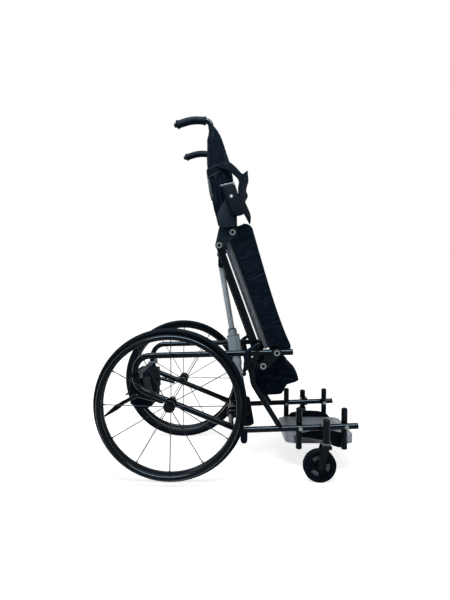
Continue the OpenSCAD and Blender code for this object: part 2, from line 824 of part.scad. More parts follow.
// Casters
module caster_housings() {
    arm_z = on_low(caster_x)[1];
    color("#1d1f22") at_both() difference() {
        union() {
            translate([caster_x, caster_w / 2, housing_low_z])
                cylinder(h = housing_top_z - housing_low_z - dome_h, d = housing_d);
            translate([caster_x, caster_w / 2, housing_top_z - dome_h]) dome(housing_d);
            translate([caster_x - arm_l / 2, side_y, arm_z - arm_h / 2])
                cube([arm_l, caster_w / 2 - side_y, arm_h]);
        }
        side_run(on_low(low_corner_x + loop_r), on_low(low_front_x));
        translate([caster_x, caster_w / 2, housing_low_z - over])
            cylinder(h = housing_top_z - housing_bore_top - housing_low_z + over, d = stem_d + 2 * run_fit);
    }
}
module dome(d) {
    ball = (d * d / 4 + dome_h * dome_h) / (2 * dome_h);
    intersection() {
        translate([0, 0, dome_h - ball]) sphere(r = ball);
        cylinder(h = dome_h + over, d = d);
    }
}
fork_in = caster_t / 2 + fork_gap;
fork_out = fork_in + fork_t;
crown_low = caster_d + crown_gap;
caster_axle = [caster_x - caster_trail, caster_d / 2];
module caster_fork() {
    color("#1b1c1e") translate([0, caster_w / 2, 0]) {
        difference() {
            union() {
                mirrored() y_plate(capsule([caster_x - crown_l / 4, crown_low], caster_axle,
                    fork_top_r, fork_low_r), fork_in, fork_out);
                translate([caster_x - crown_l / 2, -fork_out, crown_low])
                    cube([crown_l, 2 * fork_out, crown_h]);
                translate([caster_x, 0, crown_low + crown_h - over])
                    cylinder(h = housing_low_z - seat_fit - crown_low - crown_h + over, d = collar_d);
                translate([caster_x, 0, crown_low])
                    cylinder(h = housing_top_z - housing_bore_top - seat_fit - crown_low, d = stem_d);
            }
            y_rod(caster_axle, -fork_out - over, fork_out + over, caster_axle_d - over);
        }
        y_rod(caster_axle, -fork_out - caster_bolt_t, fork_out + caster_bolt_t, caster_axle_d);
        mirrored() y_rod(caster_axle, fork_out - over, fork_out + caster_bolt_t, caster_bolt_d);
    }
}
module right_caster_fork() { at_right() caster_fork(); }
module left_caster_fork() { at_left() caster_fork(); }
module on_caster() {
    translate([caster_axle[0], caster_w / 2, caster_axle[1]]) rotate([-90, 0, 0]) children();
}
module caster_tyre() {
    r = caster_d / 2;
    low = caster_round - caster_t / 2;
    color("#202124") on_caster() rotate_extrude() polygon(concat(
        [[r - caster_tyre_h, -caster_t / 2]],
        arc([r - caster_round, low], caster_round, 270, 360, 5),
        arc([r - caster_round, -low], caster_round, 0, 90, 5),
        [[r - caster_tyre_h, caster_t / 2]]));
}
module right_caster_tyre() { at_right() caster_tyre(); }
module left_caster_tyre() { at_left() caster_tyre(); }
module caster_core() {
    rim = caster_d / 2 - caster_tyre_h;
    ring_r = (rim + caster_hub_d / 2) / 2;
    color("#2b2d30") on_caster() difference() {
        union() {
            rotate_extrude() translate([rim - caster_round, -caster_t / 2]) square([caster_round, caster_t]);
            translate([0, 0, -caster_web_t / 2]) cylinder(h = caster_web_t, r = rim - caster_round / 2);
            translate([0, 0, -caster_t / 2 - fork_gap / 2])
                cylinder(h = caster_t + fork_gap, d = caster_hub_d);
        }
        translate([0, 0, -caster_t]) cylinder(h = 2 * caster_t, d = caster_axle_d + 2 * run_fit);
        for (i = [0 : caster_window_n - 1], s = [-1, 1])
            rotate(360 * i / caster_window_n + s * caster_window_turn / 2)
            translate([ring_r, 0, -caster_t]) cylinder(h = 2 * caster_t, d = caster_window_d);
    }
}
module right_caster_core() { at_right() caster_core(); }
module left_caster_core() { at_left() caster_core(); }

// Wheel locks
lock_pivot = leg_top - [lock_back, lock_drop];
lock_in = tube_out + seat_fit;
lock_out = lock_in + lock_plate_t;
lever_y = lock_out + seat_fit + lever_inset + lever_d / 2;
shoe_at = [0, axle_z] + (wheel_d / 2 + shoe_gap + shoe_d / 2) * [cos(shoe_angle), sin(shoe_angle)];
module lock_brackets() {
    color("#232529") at_both() {
        y_plate(capsule(leg_top, lock_pivot, lock_plate_r, lock_plate_r - lock_plate_t / 2),
            lock_in, lock_out);
        y_rod(lock_pivot, lock_in, lever_y + lever_d / 2 + lock_plate_t, lock_pin_d);
    }
}
module lock_lever() {
    pts = [lock_pivot, lock_pivot + lever_elbow, lock_pivot + lever_tip];
    low = lock_out + seat_fit;
    color("#141516") difference() {
        union() {
            translate([0, lever_y, 0]) bent(pts, lever_bend_r) circle(d = lever_d);
            translate([pts[2][0], lever_y, pts[2][1]]) sphere(d = lever_grip_d);
            y_rod(lock_pivot, low, lever_y + lever_d / 2 + lever_inset, lock_hub_d);
            y_plate(capsule(lock_pivot, shoe_at, lock_hub_d / 2 - over, shoe_d / 2 - over),
                low, low + lock_arm_t);
            y_rod(shoe_at, low, low + lock_arm_t + shoe_len, shoe_d);
        }
        y_rod(lock_pivot, low - over, lever_y + lever_d, lock_pin_d + 2 * run_fit);
    }
}
module right_lock_lever() { at_right() lock_lever(); }
module left_lock_lever() { at_left() lock_lever(); }

// Battery bag between the rear loops, with the battery inside it
strap_z = loop_points[2][1] + side_r * loop_bends[1] + strap_rise;
bag_top_z = strap_z - strap_wrap_gap;
bag_low_z = bag_top_z - bag_h;
bag_rear_x = -loop_back - bag_depth / 2;
battery_low_z = bag_low_z + battery_lift;
module battery_bag() {
    color("#1a1b1e") placed() difference() {
        hull() {
            for (x = [bag_rear_x + bag_round, bag_rear_x + bag_depth - bag_round])
                y_rod([x, bag_top_z - bag_round], -bag_w / 2, bag_w / 2, 2 * bag_round, $fn = 32);
            for (s = bag_belly_shares)
                y_rod([bag_rear_x + s * bag_depth, bag_low_z + bag_belly_r],
                    -bag_belly_w / 2, bag_belly_w / 2, 2 * bag_belly_r, $fn = 32);
        }
        translate([-loop_back - battery_depth / 2 - seat_fit, -battery_w / 2 - seat_fit, battery_low_z])
            cube([battery_depth + 2 * seat_fit, battery_w + 2 * seat_fit, battery_h + seat_fit]);
    }
}
module battery_pack() {
    color("#3c4046") placed() translate([-loop_back - battery_depth / 2, -battery_w / 2, battery_low_z])
        cube([battery_depth, battery_w, battery_h]);
}
// Band across the bag's top, with a ring round each loop
module bag_straps() {
    color("#85888c") {
        at_both() translate([-loop_back, side_y, strap_z]) linear_extrude(height = strap_wrap_h)
            pipe(tube_d + 2 * (strap_wrap_t + run_fit), strap_wrap_t);
        placed() translate([-loop_back - strap_band_w / 2, strap_wrap_t / 2 - tube_in, bag_top_z])
            cube([strap_band_w, 2 * tube_in - strap_wrap_t, strap_wrap_t]);
    }
}
// Calf pad hung in front of the leg cross tube
module calf_pad() {
    color("#151719") placed() difference() {
        loft([for (j = [0 : pad_rows - 1])
            let (s = 2 * j / (pad_rows - 1) - 1, f = 1 - pad_round_share * pow(abs(s), 6), y = -s * pad_w / 2)
            [for (p = pad_shares) [pad_rear_x + pad_len * (f * (p[0] - pad_mid_share) + pad_mid_share), y,
                pad_low_z + pad_h * (f * (p[1] - pad_mid_share) + pad_mid_share)]]]);
        y_rod(on_leg(leg_cross_z), -pad_w, pad_w, leg_cross_d + 2 * seat_fit);
    }
}

// Seat
module seat_sides() {
    color("#1c1e20") at_both() on_seat() difference() {
        union() {
            translate([0, bar_out, 0]) rotate([90, 0, 0]) linear_extrude(height = bar_t)
                translate([(bar_front - bar_rear) / 2, lift_len / 2])
                polygon(rounded(bar_front + bar_rear, lift_len + 2 * bar_end, bar_rear));
            y_rod([0, 0], bar_in, tube_in - head_gap, ring_d);
            y_rod([0, lift_len], bar_in, bracket_in - seat_fit, ring_d);
        }
        for (z = [0, lift_len]) y_rod([0, z], bar_in - over, tube_in, pivot_d + 2 * run_fit);
    }
}
// Rails along the underside and the cross tubes that join the side bars
module seat_tubes() {
    color("#8d9194") placed() on_seat() {
        for (s = [-1, 1]) translate([rail_x, s * rail_y, rail_start])
            linear_extrude(height = rail_stop - rail_start) pipe(rail_d, tube_wall);
        for (s = cross_shares)
            y_rod([rail_x + rail_d, rail_start + s * (rail_stop - rail_start)], -bar_in, bar_in, rail_d);
    }
}
module seat_base() {
    low = rail_x + 3 * rail_d / 2;
    color("#1a1b1d") placed() on_seat() difference() {
        translate([low, -bar_in + base_gap, base_start])
            cube([bar_front - low, 2 * (bar_in - base_gap), lift_len - 2 * base_start]);
        for (z = [0, lift_len]) mirrored()
            y_rod([0, z], bar_in - nut_t - nut_gap, bar_in, nut_d + 2 * nut_gap);
    }
}
// Superellipse power with the sign kept
function signed_pow(v, e) = sign(v) * pow(abs(v), e);
corner_share = 0.3;
end_share = 0.16;
// The cushion is thicker towards its upper end and dips in the middle
rise_share = 0.28;
dip_share = 0.285;
dip_place_share = 0.65;
function fullness(s) = 1 + rise_share * s - dip_share * sin(180 * pow(s, dip_place_share));
function channel(s) = pow(abs(cos(180 * s * channel_n)), 12);
module seat_cushion() {
    low = bar_front + seat_fit;
    color("#141517") placed() on_seat() loft([for (j = [0 : cushion_rows])
        let (s = j / cushion_rows, f = 1 - end_share * pow(abs(2 * s - 1), 12),
            c = channel(s) * channel_depth, h = (cushion_t * fullness(s) - c) * f,
            w = (cushion_w - c) / 2 * (1 - (1 - f) / 2))
        [for (i = [0 : cushion_sides - 1])
            let (a = -360 * i / cushion_sides, y = w * signed_pow(cos(a), corner_share),
                u = signed_pow(sin(a), corner_share), top = h + cushion_crown * f * (1 - pow(y / w, 2)))
            [low + h / 2 + (u < 0 ? h / 2 : top - h / 2) * u, y, s * cushion_len - cushion_low_over]]]);
}

// Backrest
cane_dir = [-sin(cane_lean), cos(cane_lean)];
cane_foot = hip + [-cane_back, cane_up];
handle_corner = cane_foot + cane_len * cane_dir;
handle_crest = handle_corner + handle_front_len * [-cos(handle_rise), sin(handle_rise)];
handle_tip = handle_crest - handle_rear_len * [cos(handle_droop), sin(handle_droop)];
handle_points = [cane_foot, handle_corner, handle_crest, handle_tip];
handle_rs = [0, handle_r, handle_arch_r, 0];
module back_canes() {
    color("#1d1f22") at_both() difference() {
        translate([0, cane_y, 0]) bent(handle_points, handle_rs) pipe(cane_d, tube_wall);
        for (u = cane_bolt_ups)
            y_rod(cane_foot + u * cane_dir, cane_y - cane_d, cane_y + cane_d, cane_bolt_d + 2 * run_fit);
    }
}
module back_brackets() {
    color("#202226") at_both() difference() {
        hull() {
            y_rod(hip, bracket_in, bracket_out, 2 * bracket_r + pivot_d / 2, $fn = 32);
            y_rod(link_head, bracket_in, bracket_out, 2 * bracket_r, $fn = 32);
            for (x = [0, bracket_top_len])
                y_rod(cane_foot + [x, bracket_top_up], bracket_in, bracket_out, 2 * bracket_top_r, $fn = 32);
        }
        for (p = [hip, link_head]) y_rod(p, bracket_in - over, bracket_out + over, pivot_d + 2 * run_fit);
        for (u = cane_bolt_ups)
            y_rod(cane_foot + u * cane_dir, bracket_in - over, bracket_out + over, cane_bolt_d + 2 * run_fit);
    }
}
module back_bolts() {
    cane_out = cane_y + cane_d / 2;
    color("silver") at_both() {
        pivot_bolt(hip, bar_in, bracket_out);
        pivot_bolt(link_head, bar_in, bracket_out);
        for (u = cane_bolt_ups) {
            p = cane_foot + u * cane_dir;
            y_rod(p, bracket_in - cane_nut_t / 2, cane_out + cane_nut_t / 2, cane_bolt_d);
            y_rod(p, cane_out, cane_out + cane_nut_t, 2 * cane_bolt_d);
        }
    }
}
// Half of the upholstery's section, as shares of its front or rear depth and its half width
front_shares = [[0.86, 0], [0.88, 0.14], [0.9, 0.28], [0.93, 0.42], [0.97, 0.56], [1, 0.7], [0.98, 0.8],
    [0.86, 0.9], [0.62, 0.96], [0.3, 0.99], [0, 1]];
rear_shares = [[0.4, 0.985], [0.75, 0.95], [1, 0.91], [0.95, 0.87], [0.5, 0.83]];
mid_shares = [0.78, 0.6, 0.4, 0.2, 0];
// Depth of the upholstery along the canes, from its lower to its upper end
function front_depth(s) = back_front * (1 - 0.32 * pow(s, 3)) * (1 - 0.2 * pow(abs(2 * s - 1), 10));
function rear_depth(s) = back_rear * (0.62 + 0.38 * sin(180 * s));
function fold(y) = fold_depth * cos(360 * 5 * y);
function back_half(s) = concat(
    [for (p = front_shares) [front_depth(s) * p[0] + fold(p[1]) * p[0], back_half_w * p[1]]],
    [for (p = rear_shares) [-rear_depth(s) * p[0], back_half_w * p[1]]],
    [for (y = mid_shares) [back_mid_rear, back_half_w * y]]);
module back_upholstery() {
    last = len(back_half(0)) - 1;
    color("#16181b") placed() on_back() difference() {
        loft([for (j = [0 : back_rows]) let (s = j / back_rows, half = back_half(s))
            concat([for (i = [0 : last]) [half[i][0], half[i][1], back_low + s * back_len]],
                [for (i = [last - 1 : -1 : 1]) [half[i][0], -half[i][1], back_low + s * back_len]])]);
        mirrored() translate([0, cane_y, back_low - over])
            cylinder(h = back_len + 2 * over, d = cane_d + 2 * seat_fit);
        y_rod([0, bar_at], -cane_y - over, cane_y + over, back_bar_d + 2 * seat_fit);
    }
}
// Grips along the arched handles, with a flared ring at the front and a knob at the tip
module push_grips() {
    front_a = heading(handle_corner, handle_crest);
    rear_a = heading(handle_crest, handle_tip);
    grip_from = ahead(handle_corner, front_a, setback(handle_points, 1, handle_rs) + seat_fit);
    ring_from = ahead(grip_from, front_a, over);
    path = [grip_from, handle_crest, ahead(handle_tip, rear_a, cap_t / 2)];
    color("#17181a") at_both() translate([0, cane_y, 0]) {
        bent(path, handle_arch_r) pipe(grip_d, (grip_d - cane_d) / 2 - run_fit);
        bent([ring_from, ahead(ring_from, front_a, cap_t)], 0)
            pipe(grip_d + 2 * grip_flare, grip_flare + over);
        bent([ahead(handle_tip, rear_a, seat_fit), ahead(handle_tip, rear_a, 2 * cap_t)], 0)
            circle(d = grip_d + 2 * grip_flare);
    }
}
module back_bar() {
    color("#2a2c2f") placed() on_back() difference() {
        y_rod([0, bar_at], -cane_y, cane_y, back_bar_d);
        mirrored() translate([0, cane_y, 0]) cylinder(h = cane_len, d = cane_d);
    }
}
// Control box clamped behind the back bar
module control_box() {
    color("#b9bdc0") placed() on_back() translate([-back_bar_d / 2 - box_depth, 0, bar_at]) rotate([0, 90, 0])
        linear_extrude(height = box_depth) polygon(rounded(box_h, box_w, box_r));
}
// Padded chest belts with their hanging tails
module chest_belts() {
    low = back_half_w + seat_fit;
    color("#141518") at_both() on_back() translate([0, low + belt_t / 2, 0]) {
        bent([belt_start, belt_corner, belt_end], belt_r) square([belt_w, belt_t], center = true);
        bent([belt_end + [0, belt_w / 2], belt_tail_end], belt_r)
            square([belt_tail_w, belt_t], center = true);
    }
}
// Hand control on the right side of the backrest
control_in = back_half_w + seat_fit;
control_out = control_in + control_t;
module hand_control() {
    color("#17191c") at_right() on_back() difference() {
        y_plate([[control_rear, control_low], [control_low_front, control_low],
            [control_front, control_top_front], [control_rear, control_top_rear]], control_in, control_out);
        y_rod(button_at, control_out - button_stem - button_travel, control_out + over,
            button_d + 2 * button_fit);
    }
}
module control_clip() {
    slope = heading([control_rear, control_top_rear], [control_front, control_top_front]);
    lift = [0, (clip_d / 2 + seat_fit) / cos(slope)];
    rear = [control_rear, control_top_rear] + lift;
    front = [control_front, control_top_front] + lift;
    color("silver") at_right() on_back() translate([0, control_in + control_t / 2, 0])
        bent([rear, front], belt_r) circle(d = clip_d);
}
module lift_button() {
    color("white") at_right() on_back()
        y_rod(button_at, control_out - button_stem, control_out + button_out, button_d);
}

// Links and their cross tube, which holds the actuator's pin between two cheeks
module lift_links() {
    color("#1b1c1f") at_both() on_link() difference() {
        union() {
            y_plate(capsule([0, 0], [0, lift_len], link_w / 2, link_w / 2), bar_in, bar_out);
            y_rod([0, lift_len], bar_in, bracket_in - seat_fit, ring_d);
        }
        for (z = [0, lift_len]) y_rod([0, z], bar_in - over, bracket_in, pivot_d + 2 * run_fit);
    }
}
module link_cross_tube() {
    cheek_in = rod_d / 2 + cheek_gap;
    up = [0, drive_up + link_tube_rise];
    pin = [-drive_off, drive_up];
    color("#1b1c1f") placed() on_link() {
        y_rod(up, -bar_in, bar_in, link_tube_d);
        mirrored()
            y_plate(capsule(up, pin, link_tube_d / 2 + cheek_t / 2, pin_d / 2 + eye_wall + cheek_t / 2),
                cheek_in, cheek_in + cheek_t);
        y_rod(pin, -cheek_in - 2 * cheek_t, cheek_in + 2 * cheek_t, pin_d);
    }
}

// Actuator, along its own axis from the lower pivot
module actuator_motor() {
    r = motor_d / 2;
    reach = r + trunnion_gap + trunnion_t;
    color("#1a1b1e") placed() on_drive() difference() {
        union() {
            rotate_extrude() polygon(concat([[0, -motor_down]],
                arc([r - motor_round, motor_round - motor_down], motor_round, 270, 360, 6),
                arc([r - motor_round, motor_up - motor_round], motor_round, 0, 90, 6), [[0, motor_up]]));
            y_rod([0, 0], -reach, reach, trunnion_d);
        }
        translate([0, 0, motor_up - motor_round])
            cylinder(h = motor_round + over, d = sleeve_d + 2 * run_fit);
    }
}
module actuator_tube() {
    color("#c3c8cb") placed() on_drive() difference() {
        union() {
            translate([0, 0, motor_up - motor_round])
                cylinder(h = head_at - motor_up + motor_round, d = sleeve_d);
            translate([0, 0, collar_at]) cylinder(h = collar_len, d = sleeve_collar_d);
        }
        translate([0, 0, motor_up]) cylinder(h = head_at - motor_up + over, d = rod_d + 2 * tube_bore_fit);
    }
}
module actuator_head() {
    color("#9fa5a9") placed() on_drive() difference() {
        union() {
            translate([0, 0, head_at]) linear_extrude(height = head_len)
                polygon(rounded(head_w, head_depth, head_corner_r));
            translate([0, 0, head_at + head_len]) cylinder(h = head_cap_len, d = head_cap_d);
        }
        translate([0, 0, head_at - over])
            cylinder(h = head_len + head_cap_len + 2 * over, d = rod_d + 2 * run_fit);
    }
}
module actuator_rod() {
    eye = [0, drive_len];
    rod_from = head_at + head_len + head_cap_len - rod_seat;
    color("#aeb9c4") placed() on_drive() difference() {
        union() {
            translate([0, 0, rod_from]) cylinder(h = drive_len - eye_r / 2 - rod_from, d = rod_d);
            y_plate(capsule(eye, slot_end, eye_r, eye_r), -eye_t / 2, eye_t / 2);
        }
        y_plate(capsule(eye, slot_end, pin_d / 2 + slot_play, pin_d / 2 + slot_play), -eye_t, eye_t);
    }
}

// Rear wheels, on their axles
module on_wheel() { translate([0, track_w / 2, axle_z]) rotate([-90, 0, 0]) children(); }
module rear_tyre() {
    color("#1b1c1d") on_wheel() rotate_extrude() intersection() {
        translate([tyre_r, 0]) circle(d = tyre_t);
        translate([rim_r, -tyre_t]) square([tyre_h + over, 2 * tyre_t]);
    }
}
module right_tyre() { at_right() rear_tyre(); }
module left_tyre() { at_left() rear_tyre(); }
module rear_rim() {
    color("#101112") on_wheel() rotate_extrude() polygon([[rim_r, rim_w / 2], [rim_r - rim_h / 2, rim_w / 2],
        [rim_r - rim_h, rim_w / 4], [rim_r - rim_h, -rim_w / 4], [rim_r - rim_h / 2, -rim_w / 2],
        [rim_r, -rim_w / 2]]);
}
module right_rim() { at_right() rear_rim(); }
module left_rim() { at_left() rear_rim(); }
module rear_spokes() {
    flange_y = hub_len / 2 - flange_in - flange_t / 2;
    color("#4a4d50") on_wheel() for (i = [0 : spoke_n - 1]) {
        s = i % 2 == 0 ? 1 : -1;
        p = [hub_d / 2 + seat_fit, s * flange_y];
        q = [rim_r - rim_h - seat_fit, s * spoke_rim_y];
        rotate(360 * i / spoke_n) translate([p[0], 0, p[1]]) rotate([0, 90 - heading(p, q), 0])
            cylinder(h = norm(q - p), d = spoke_d);
    }
}
module right_spokes() { at_right() rear_spokes(); }
module left_spokes() { at_left() rear_spokes(); }
module rear_hub() {
    color("#18191b") on_wheel() difference() {
        union() {
            translate([0, 0, -hub_len / 2]) cylinder(h = hub_len, d = hub_barrel_d);
            for (s = [-1, 1]) translate([0, 0, s * (hub_len / 2 - flange_in - flange_t / 2) - flange_t / 2])
                cylinder(h = flange_t, d = hub_d);
        }
        translate([0, 0, -hub_len]) cylinder(h = 2 * hub_len, d = axle_d + 2 * run_fit);
    }
}
module right_hub() { at_right() rear_hub(); }
module left_hub() { at_left() rear_hub(); }
// Handrim with the tabs that hold it to the rim's outer face
module rear_handrim() {
    p = [rim_r - rim_h / 4, rim_w / 2];
    q = [handrim_r, handrim_out];
    start = ahead(p, heading(q, p), tab_d);
    color("#151617") on_wheel() {
        translate([0, 0, handrim_out]) rotate_extrude() translate([handrim_r, 0]) circle(d = handrim_d);
        difference() {
            for (i = [0 : tab_n - 1]) rotate(360 * i / tab_n) translate([start[0], 0, start[1]])
                rotate([0, 90 - heading(p, q), 0]) cylinder(h = norm(q - start), d = tab_d);
            translate([0, 0, p[1] - 2 * tab_d]) cylinder(h = 2 * tab_d, r = rim_r + tab_d);
        }
    }
}
module right_handrim() { at_right() rear_handrim(); }
module left_handrim() { at_left() rear_handrim(); }

right_side_frame();
left_side_frame();
leg_tubes();
leg_cross_tube();
lower_cross_tube();
knee_brackets();
frame_bolts();
tube_caps();
frame_feet();
wheel_axles();
tipping_levers();
footplate();
footplate_bars();
footrest_posts();
foot_guards();
caster_housings();
lock_brackets();
battery_bag();
battery_pack();
bag_straps();
calf_pad();
seat_sides();
seat_tubes();
seat_base();
seat_cushion();
back_canes();
back_brackets();
back_bolts();
back_upholstery();
push_grips();
back_bar();
control_box();
chest_belts();
hand_control();
control_clip();
lift_button();
lift_links();
link_cross_tube();
actuator_motor();
actuator_tube();
actuator_head();
actuator_rod();
right_tyre();
right_rim();
right_spokes();
right_hub();
right_handrim();
left_tyre();
left_rim();
left_spokes();
left_hub();
left_handrim();
right_caster_fork();
left_caster_fork();
right_caster_tyre();
left_caster_tyre();
right_caster_core();
left_caster_core();
right_lock_lever();
left_lock_lever();
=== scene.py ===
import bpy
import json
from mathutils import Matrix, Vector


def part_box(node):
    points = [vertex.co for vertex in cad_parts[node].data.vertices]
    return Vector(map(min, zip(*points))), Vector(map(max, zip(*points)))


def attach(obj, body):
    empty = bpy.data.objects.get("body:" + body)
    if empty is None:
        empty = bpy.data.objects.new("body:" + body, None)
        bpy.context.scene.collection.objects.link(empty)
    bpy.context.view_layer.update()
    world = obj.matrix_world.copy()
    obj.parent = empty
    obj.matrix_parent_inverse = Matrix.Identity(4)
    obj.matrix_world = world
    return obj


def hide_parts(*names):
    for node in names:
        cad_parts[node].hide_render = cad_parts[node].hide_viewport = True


bl_info = {
    "name": "Standing wheelchair dressing",
    "version": (1, 0, 0),
    "blender": (4, 5, 0),
    "location": "3D View > Sidebar > Wheelchair",
    "description": "Upholstery, fittings, finishes and studio of a standing wheelchair",
    "category": "Object",
}

import json
import math

import bpy
import numpy as np
from bpy.props import FloatProperty, FloatVectorProperty, IntProperty, PointerProperty
from mathutils import Matrix

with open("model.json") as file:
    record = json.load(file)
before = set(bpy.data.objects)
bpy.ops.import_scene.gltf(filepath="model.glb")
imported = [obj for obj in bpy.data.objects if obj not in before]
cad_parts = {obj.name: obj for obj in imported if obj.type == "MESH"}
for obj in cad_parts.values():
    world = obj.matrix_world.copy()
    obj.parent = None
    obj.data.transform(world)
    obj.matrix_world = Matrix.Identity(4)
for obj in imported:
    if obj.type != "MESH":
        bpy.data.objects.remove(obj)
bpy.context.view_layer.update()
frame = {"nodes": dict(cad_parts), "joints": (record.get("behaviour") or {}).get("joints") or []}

SIDES = {"right": -1, "left": 1}
SIGNS = tuple(SIDES.values())
ACROSS = np.array([0.0, 1.0, 0.0])
UP = np.array([0.0, 0.0, 1.0])
joint_place = {j["name"]: np.array(j["pos_m"]) for j in frame["joints"] if j.get("pos_m")}
joint_axis = {j["name"]: np.array(j["axis"], float) for j in frame["joints"]}
KNEE, HIP = joint_place["seat_lift"], joint_place["back_level"]
LINK_FOOT = joint_place["link_swing"]
# Distances from the chair's middle: canes with their handles, tipping levers, grips of the wheel locks
CANE_OUT, LEVER_OUT, LOCK_OUT = 0.2025, 0.1877, 0.2346
# Lean of the canes in degrees, and their foot seen from the hip pivot
BACK_LEAN, CANE_FOOT = 8.5, np.array([-0.031, 0, 0.025])
# Cloth run of the padded pieces: inner pressure, steps in a frame and last frame
PRESSURE, STEPS, LAST_FRAME = 4, 4, 20


# Sizes and colours

def length(label, text, default):
    return FloatProperty(name=label, description=text, default=default, unit="LENGTH", precision=4)


def colour(label, text, default):
    return FloatVectorProperty(name=label, description=text, default=default, size=3, subtype="COLOR", min=0, max=1)


def power(label, text, default):
    return FloatProperty(name=label, description=text, default=default, unit="POWER")


class ChairSizes(bpy.types.PropertyGroup):
    cushion_thick: length("Cushion thickness", "Seat cushion from its base to its front face", 0.045)
    cushion_crown: length("Cushion crown", "How far the middle of the cushion stands above its edges", 0.004)
    cushion_half: length("Cushion half width", "Half of the seat cushion's width", 0.183)
    cushion_low: length("Cushion lower end", "Along the seat from the knee pivot", -0.013)
    cushion_top: length("Cushion upper end", "Along the seat from the knee pivot", 0.529)
    cushion_base: length("Cushion base", "Front of the seat bars from the knee pivot", 0.0253)
    channels: IntProperty(name="Channels", description="Sewn channels over the cushion's length",
                          default=8, min=4, max=14)
    piping: length("Piping", "Radius of the cord along the cushion's edge", 0.0026)
    back_half: length("Back half width", "Half of the back cover's width", 0.2205)
    back_low: length("Back lower end", "Along the canes from their foot", 0.062)
    back_top: length("Back upper end", "Along the canes from their foot", 0.398)
    belt_thick: length("Belt thickness", "Padded chest belt", 0.005)
    strap_thick: length("Strap thickness", "Flat webbing", 0.003)
    pad_half: length("Calf pad half width", "Half of the calf pad's width", 0.142)
    tread: length("Tread depth", "Depth of the tyre's grooves", 0.0008)
    voxel: length("Cloth mesh", "Mesh size of the padded pieces", 0.0055)
    swell: length("Cloth swell", "Most that a padded piece may swell", 0.006)
    camera_place: FloatVectorProperty(name="Camera", description="Camera's place", size=3, subtype="XYZ",
                                      unit="LENGTH", default=(-0.017935, -1.929302, 0.713887))
    camera_turn: FloatVectorProperty(name="Camera turn", description="Yaw, pitch down and roll", size=3,
                                     unit="ROTATION", default=(-9.502e-4, 8.9147e-3, -7.9569e-3))
    camera_lens: FloatProperty(name="Lens", description="Focal length on a 36 mm sensor", default=25.98)
    softbox: power("Softbox", "Power of the lamp overhead", 40.0)
    ceiling: power("Ceiling", "Power of the box that shows in gloss", 640.0)
    fill: power("Fill", "Power of the lamp beside the camera", 12.0)
    room: FloatProperty(name="Room", description="Strength of the light all round", default=0.35)


class ChairColours(bpy.types.PropertyGroup):
    paint: colour("Frame paint", "Black paint of the tubes", (0.0006, 0.001, 0.0016))
    plate: colour("Bracket paint", "Dark blue-grey paint of the cane plates", (0.0036, 0.0075, 0.0135))
    rail: colour("Rail paint", "Grey paint of the seat's rails", (0.15, 0.175, 0.2))
    steel: colour("Steel", "Bolts", (0.17, 0.21, 0.205))
    spoke: colour("Spokes", "Dark spoke wire", (0.008, 0.01, 0.012))
    aluminium: colour("Aluminium", "Footplate", (0.165, 0.185, 0.21))
    rod: colour("Rod", "Pale coated rod of the actuator", (0.42, 0.5, 0.55))
    housing: colour("Housing", "Grey plastic of the actuator's head", (0.34, 0.42, 0.47))
    pale: colour("Pale plastic", "Control box, collars and buckle", (0.16, 0.19, 0.215))
    white: colour("White plastic", "Lift button", (0.82, 0.84, 0.85))
    plastic: colour("Black plastic", "Moulded black pieces", (0.0018, 0.0032, 0.0055))
    rubber: colour("Rubber", "Grips, caps and feet", (0.003, 0.0068, 0.013))
    tyre: colour("Tyre", "Tyre rubber", (0.0012, 0.0028, 0.005))
    cloth: colour("Cloth", "Black cover cloth", (0.0022, 0.0054, 0.0115))
    # Colour of the painted highlight that the cloth is lightened to along the ridges of its creases
    cloth_painted_highlight: colour("Cloth folds", "Cloth where folds catch the light", (0.026, 0.037, 0.05))
    webbing: colour("Webbing", "Grey strap webbing", (0.06, 0.068, 0.078))
    seal: colour("Seal", "Reddish ring under the caster housing", (0.06, 0.022, 0.02))
    dust: colour("Dust", "Pale dust on faces that look up", (0.08, 0.09, 0.1))
    floor: colour("Floor", "Studio floor", (0.9, 0.9, 0.9))


def sizes():
    return bpy.context.scene.chair_sizes


def colours():
    return bpy.context.scene.chair_colours


# Lines, sections and skins

class Axes:
    """Axes of a leaning member: along it, out of its front, and across the chair."""

    def __init__(self, origin, along):
        self.origin = np.array([origin[0], 0.0, origin[2]])
        self.along = np.array([along[0], 0.0, along[2]]) / math.hypot(along[0], along[2])
        self.front = np.array([self.along[2], 0.0, -self.along[0]])

    def out(self, x, y, z):
        """Points of the chair from distances to the front, across and along."""
        x, y, z = np.broadcast_arrays(*[np.asarray(k, float) for k in (x, y, z)])
        return self.origin + x[..., None] * self.front + y[..., None] * ACROSS + z[..., None] * self.along

    def into(self, points):
        """Distances to the front, across and along of points of the chair."""
        d = points - self.origin
        return d @ self.front, points[..., 1], d @ self.along


seat = Axes(KNEE, HIP - KNEE)
back = Axes(HIP + CANE_FOOT, (-math.sin(math.radians(BACK_LEAN)), 0, math.cos(math.radians(BACK_LEAN))))
upright = Axes((0, 0, 0), UP)
drive = Axes(joint_place["actuator_tilt"], joint_axis["rod_stroke"])


def smooth(low, high, x):
    """Cubic step from 0 at low to 1 at high."""
    t = np.clip((x - low) / (high - low), 0, 1)
    return t * t * (3 - 2 * t)


def bump(x, width):
    """Bell curve of a half width round zero."""
    return np.exp(-(x / width) ** 2)


def travel(line):
    """Distance of each point from the start of its line, along it."""
    return np.concatenate([[0], np.cumsum(np.linalg.norm(np.diff(line, axis=0), axis=1))])


def even(line, count, closed=False):
    """Points at even steps of a line's length."""
    s = travel(line)
    at = np.linspace(0, s[-1], count + closed)[:count]
    return np.stack([np.interp(at, s, line[:, k]) for k in range(line.shape[1])], 1)


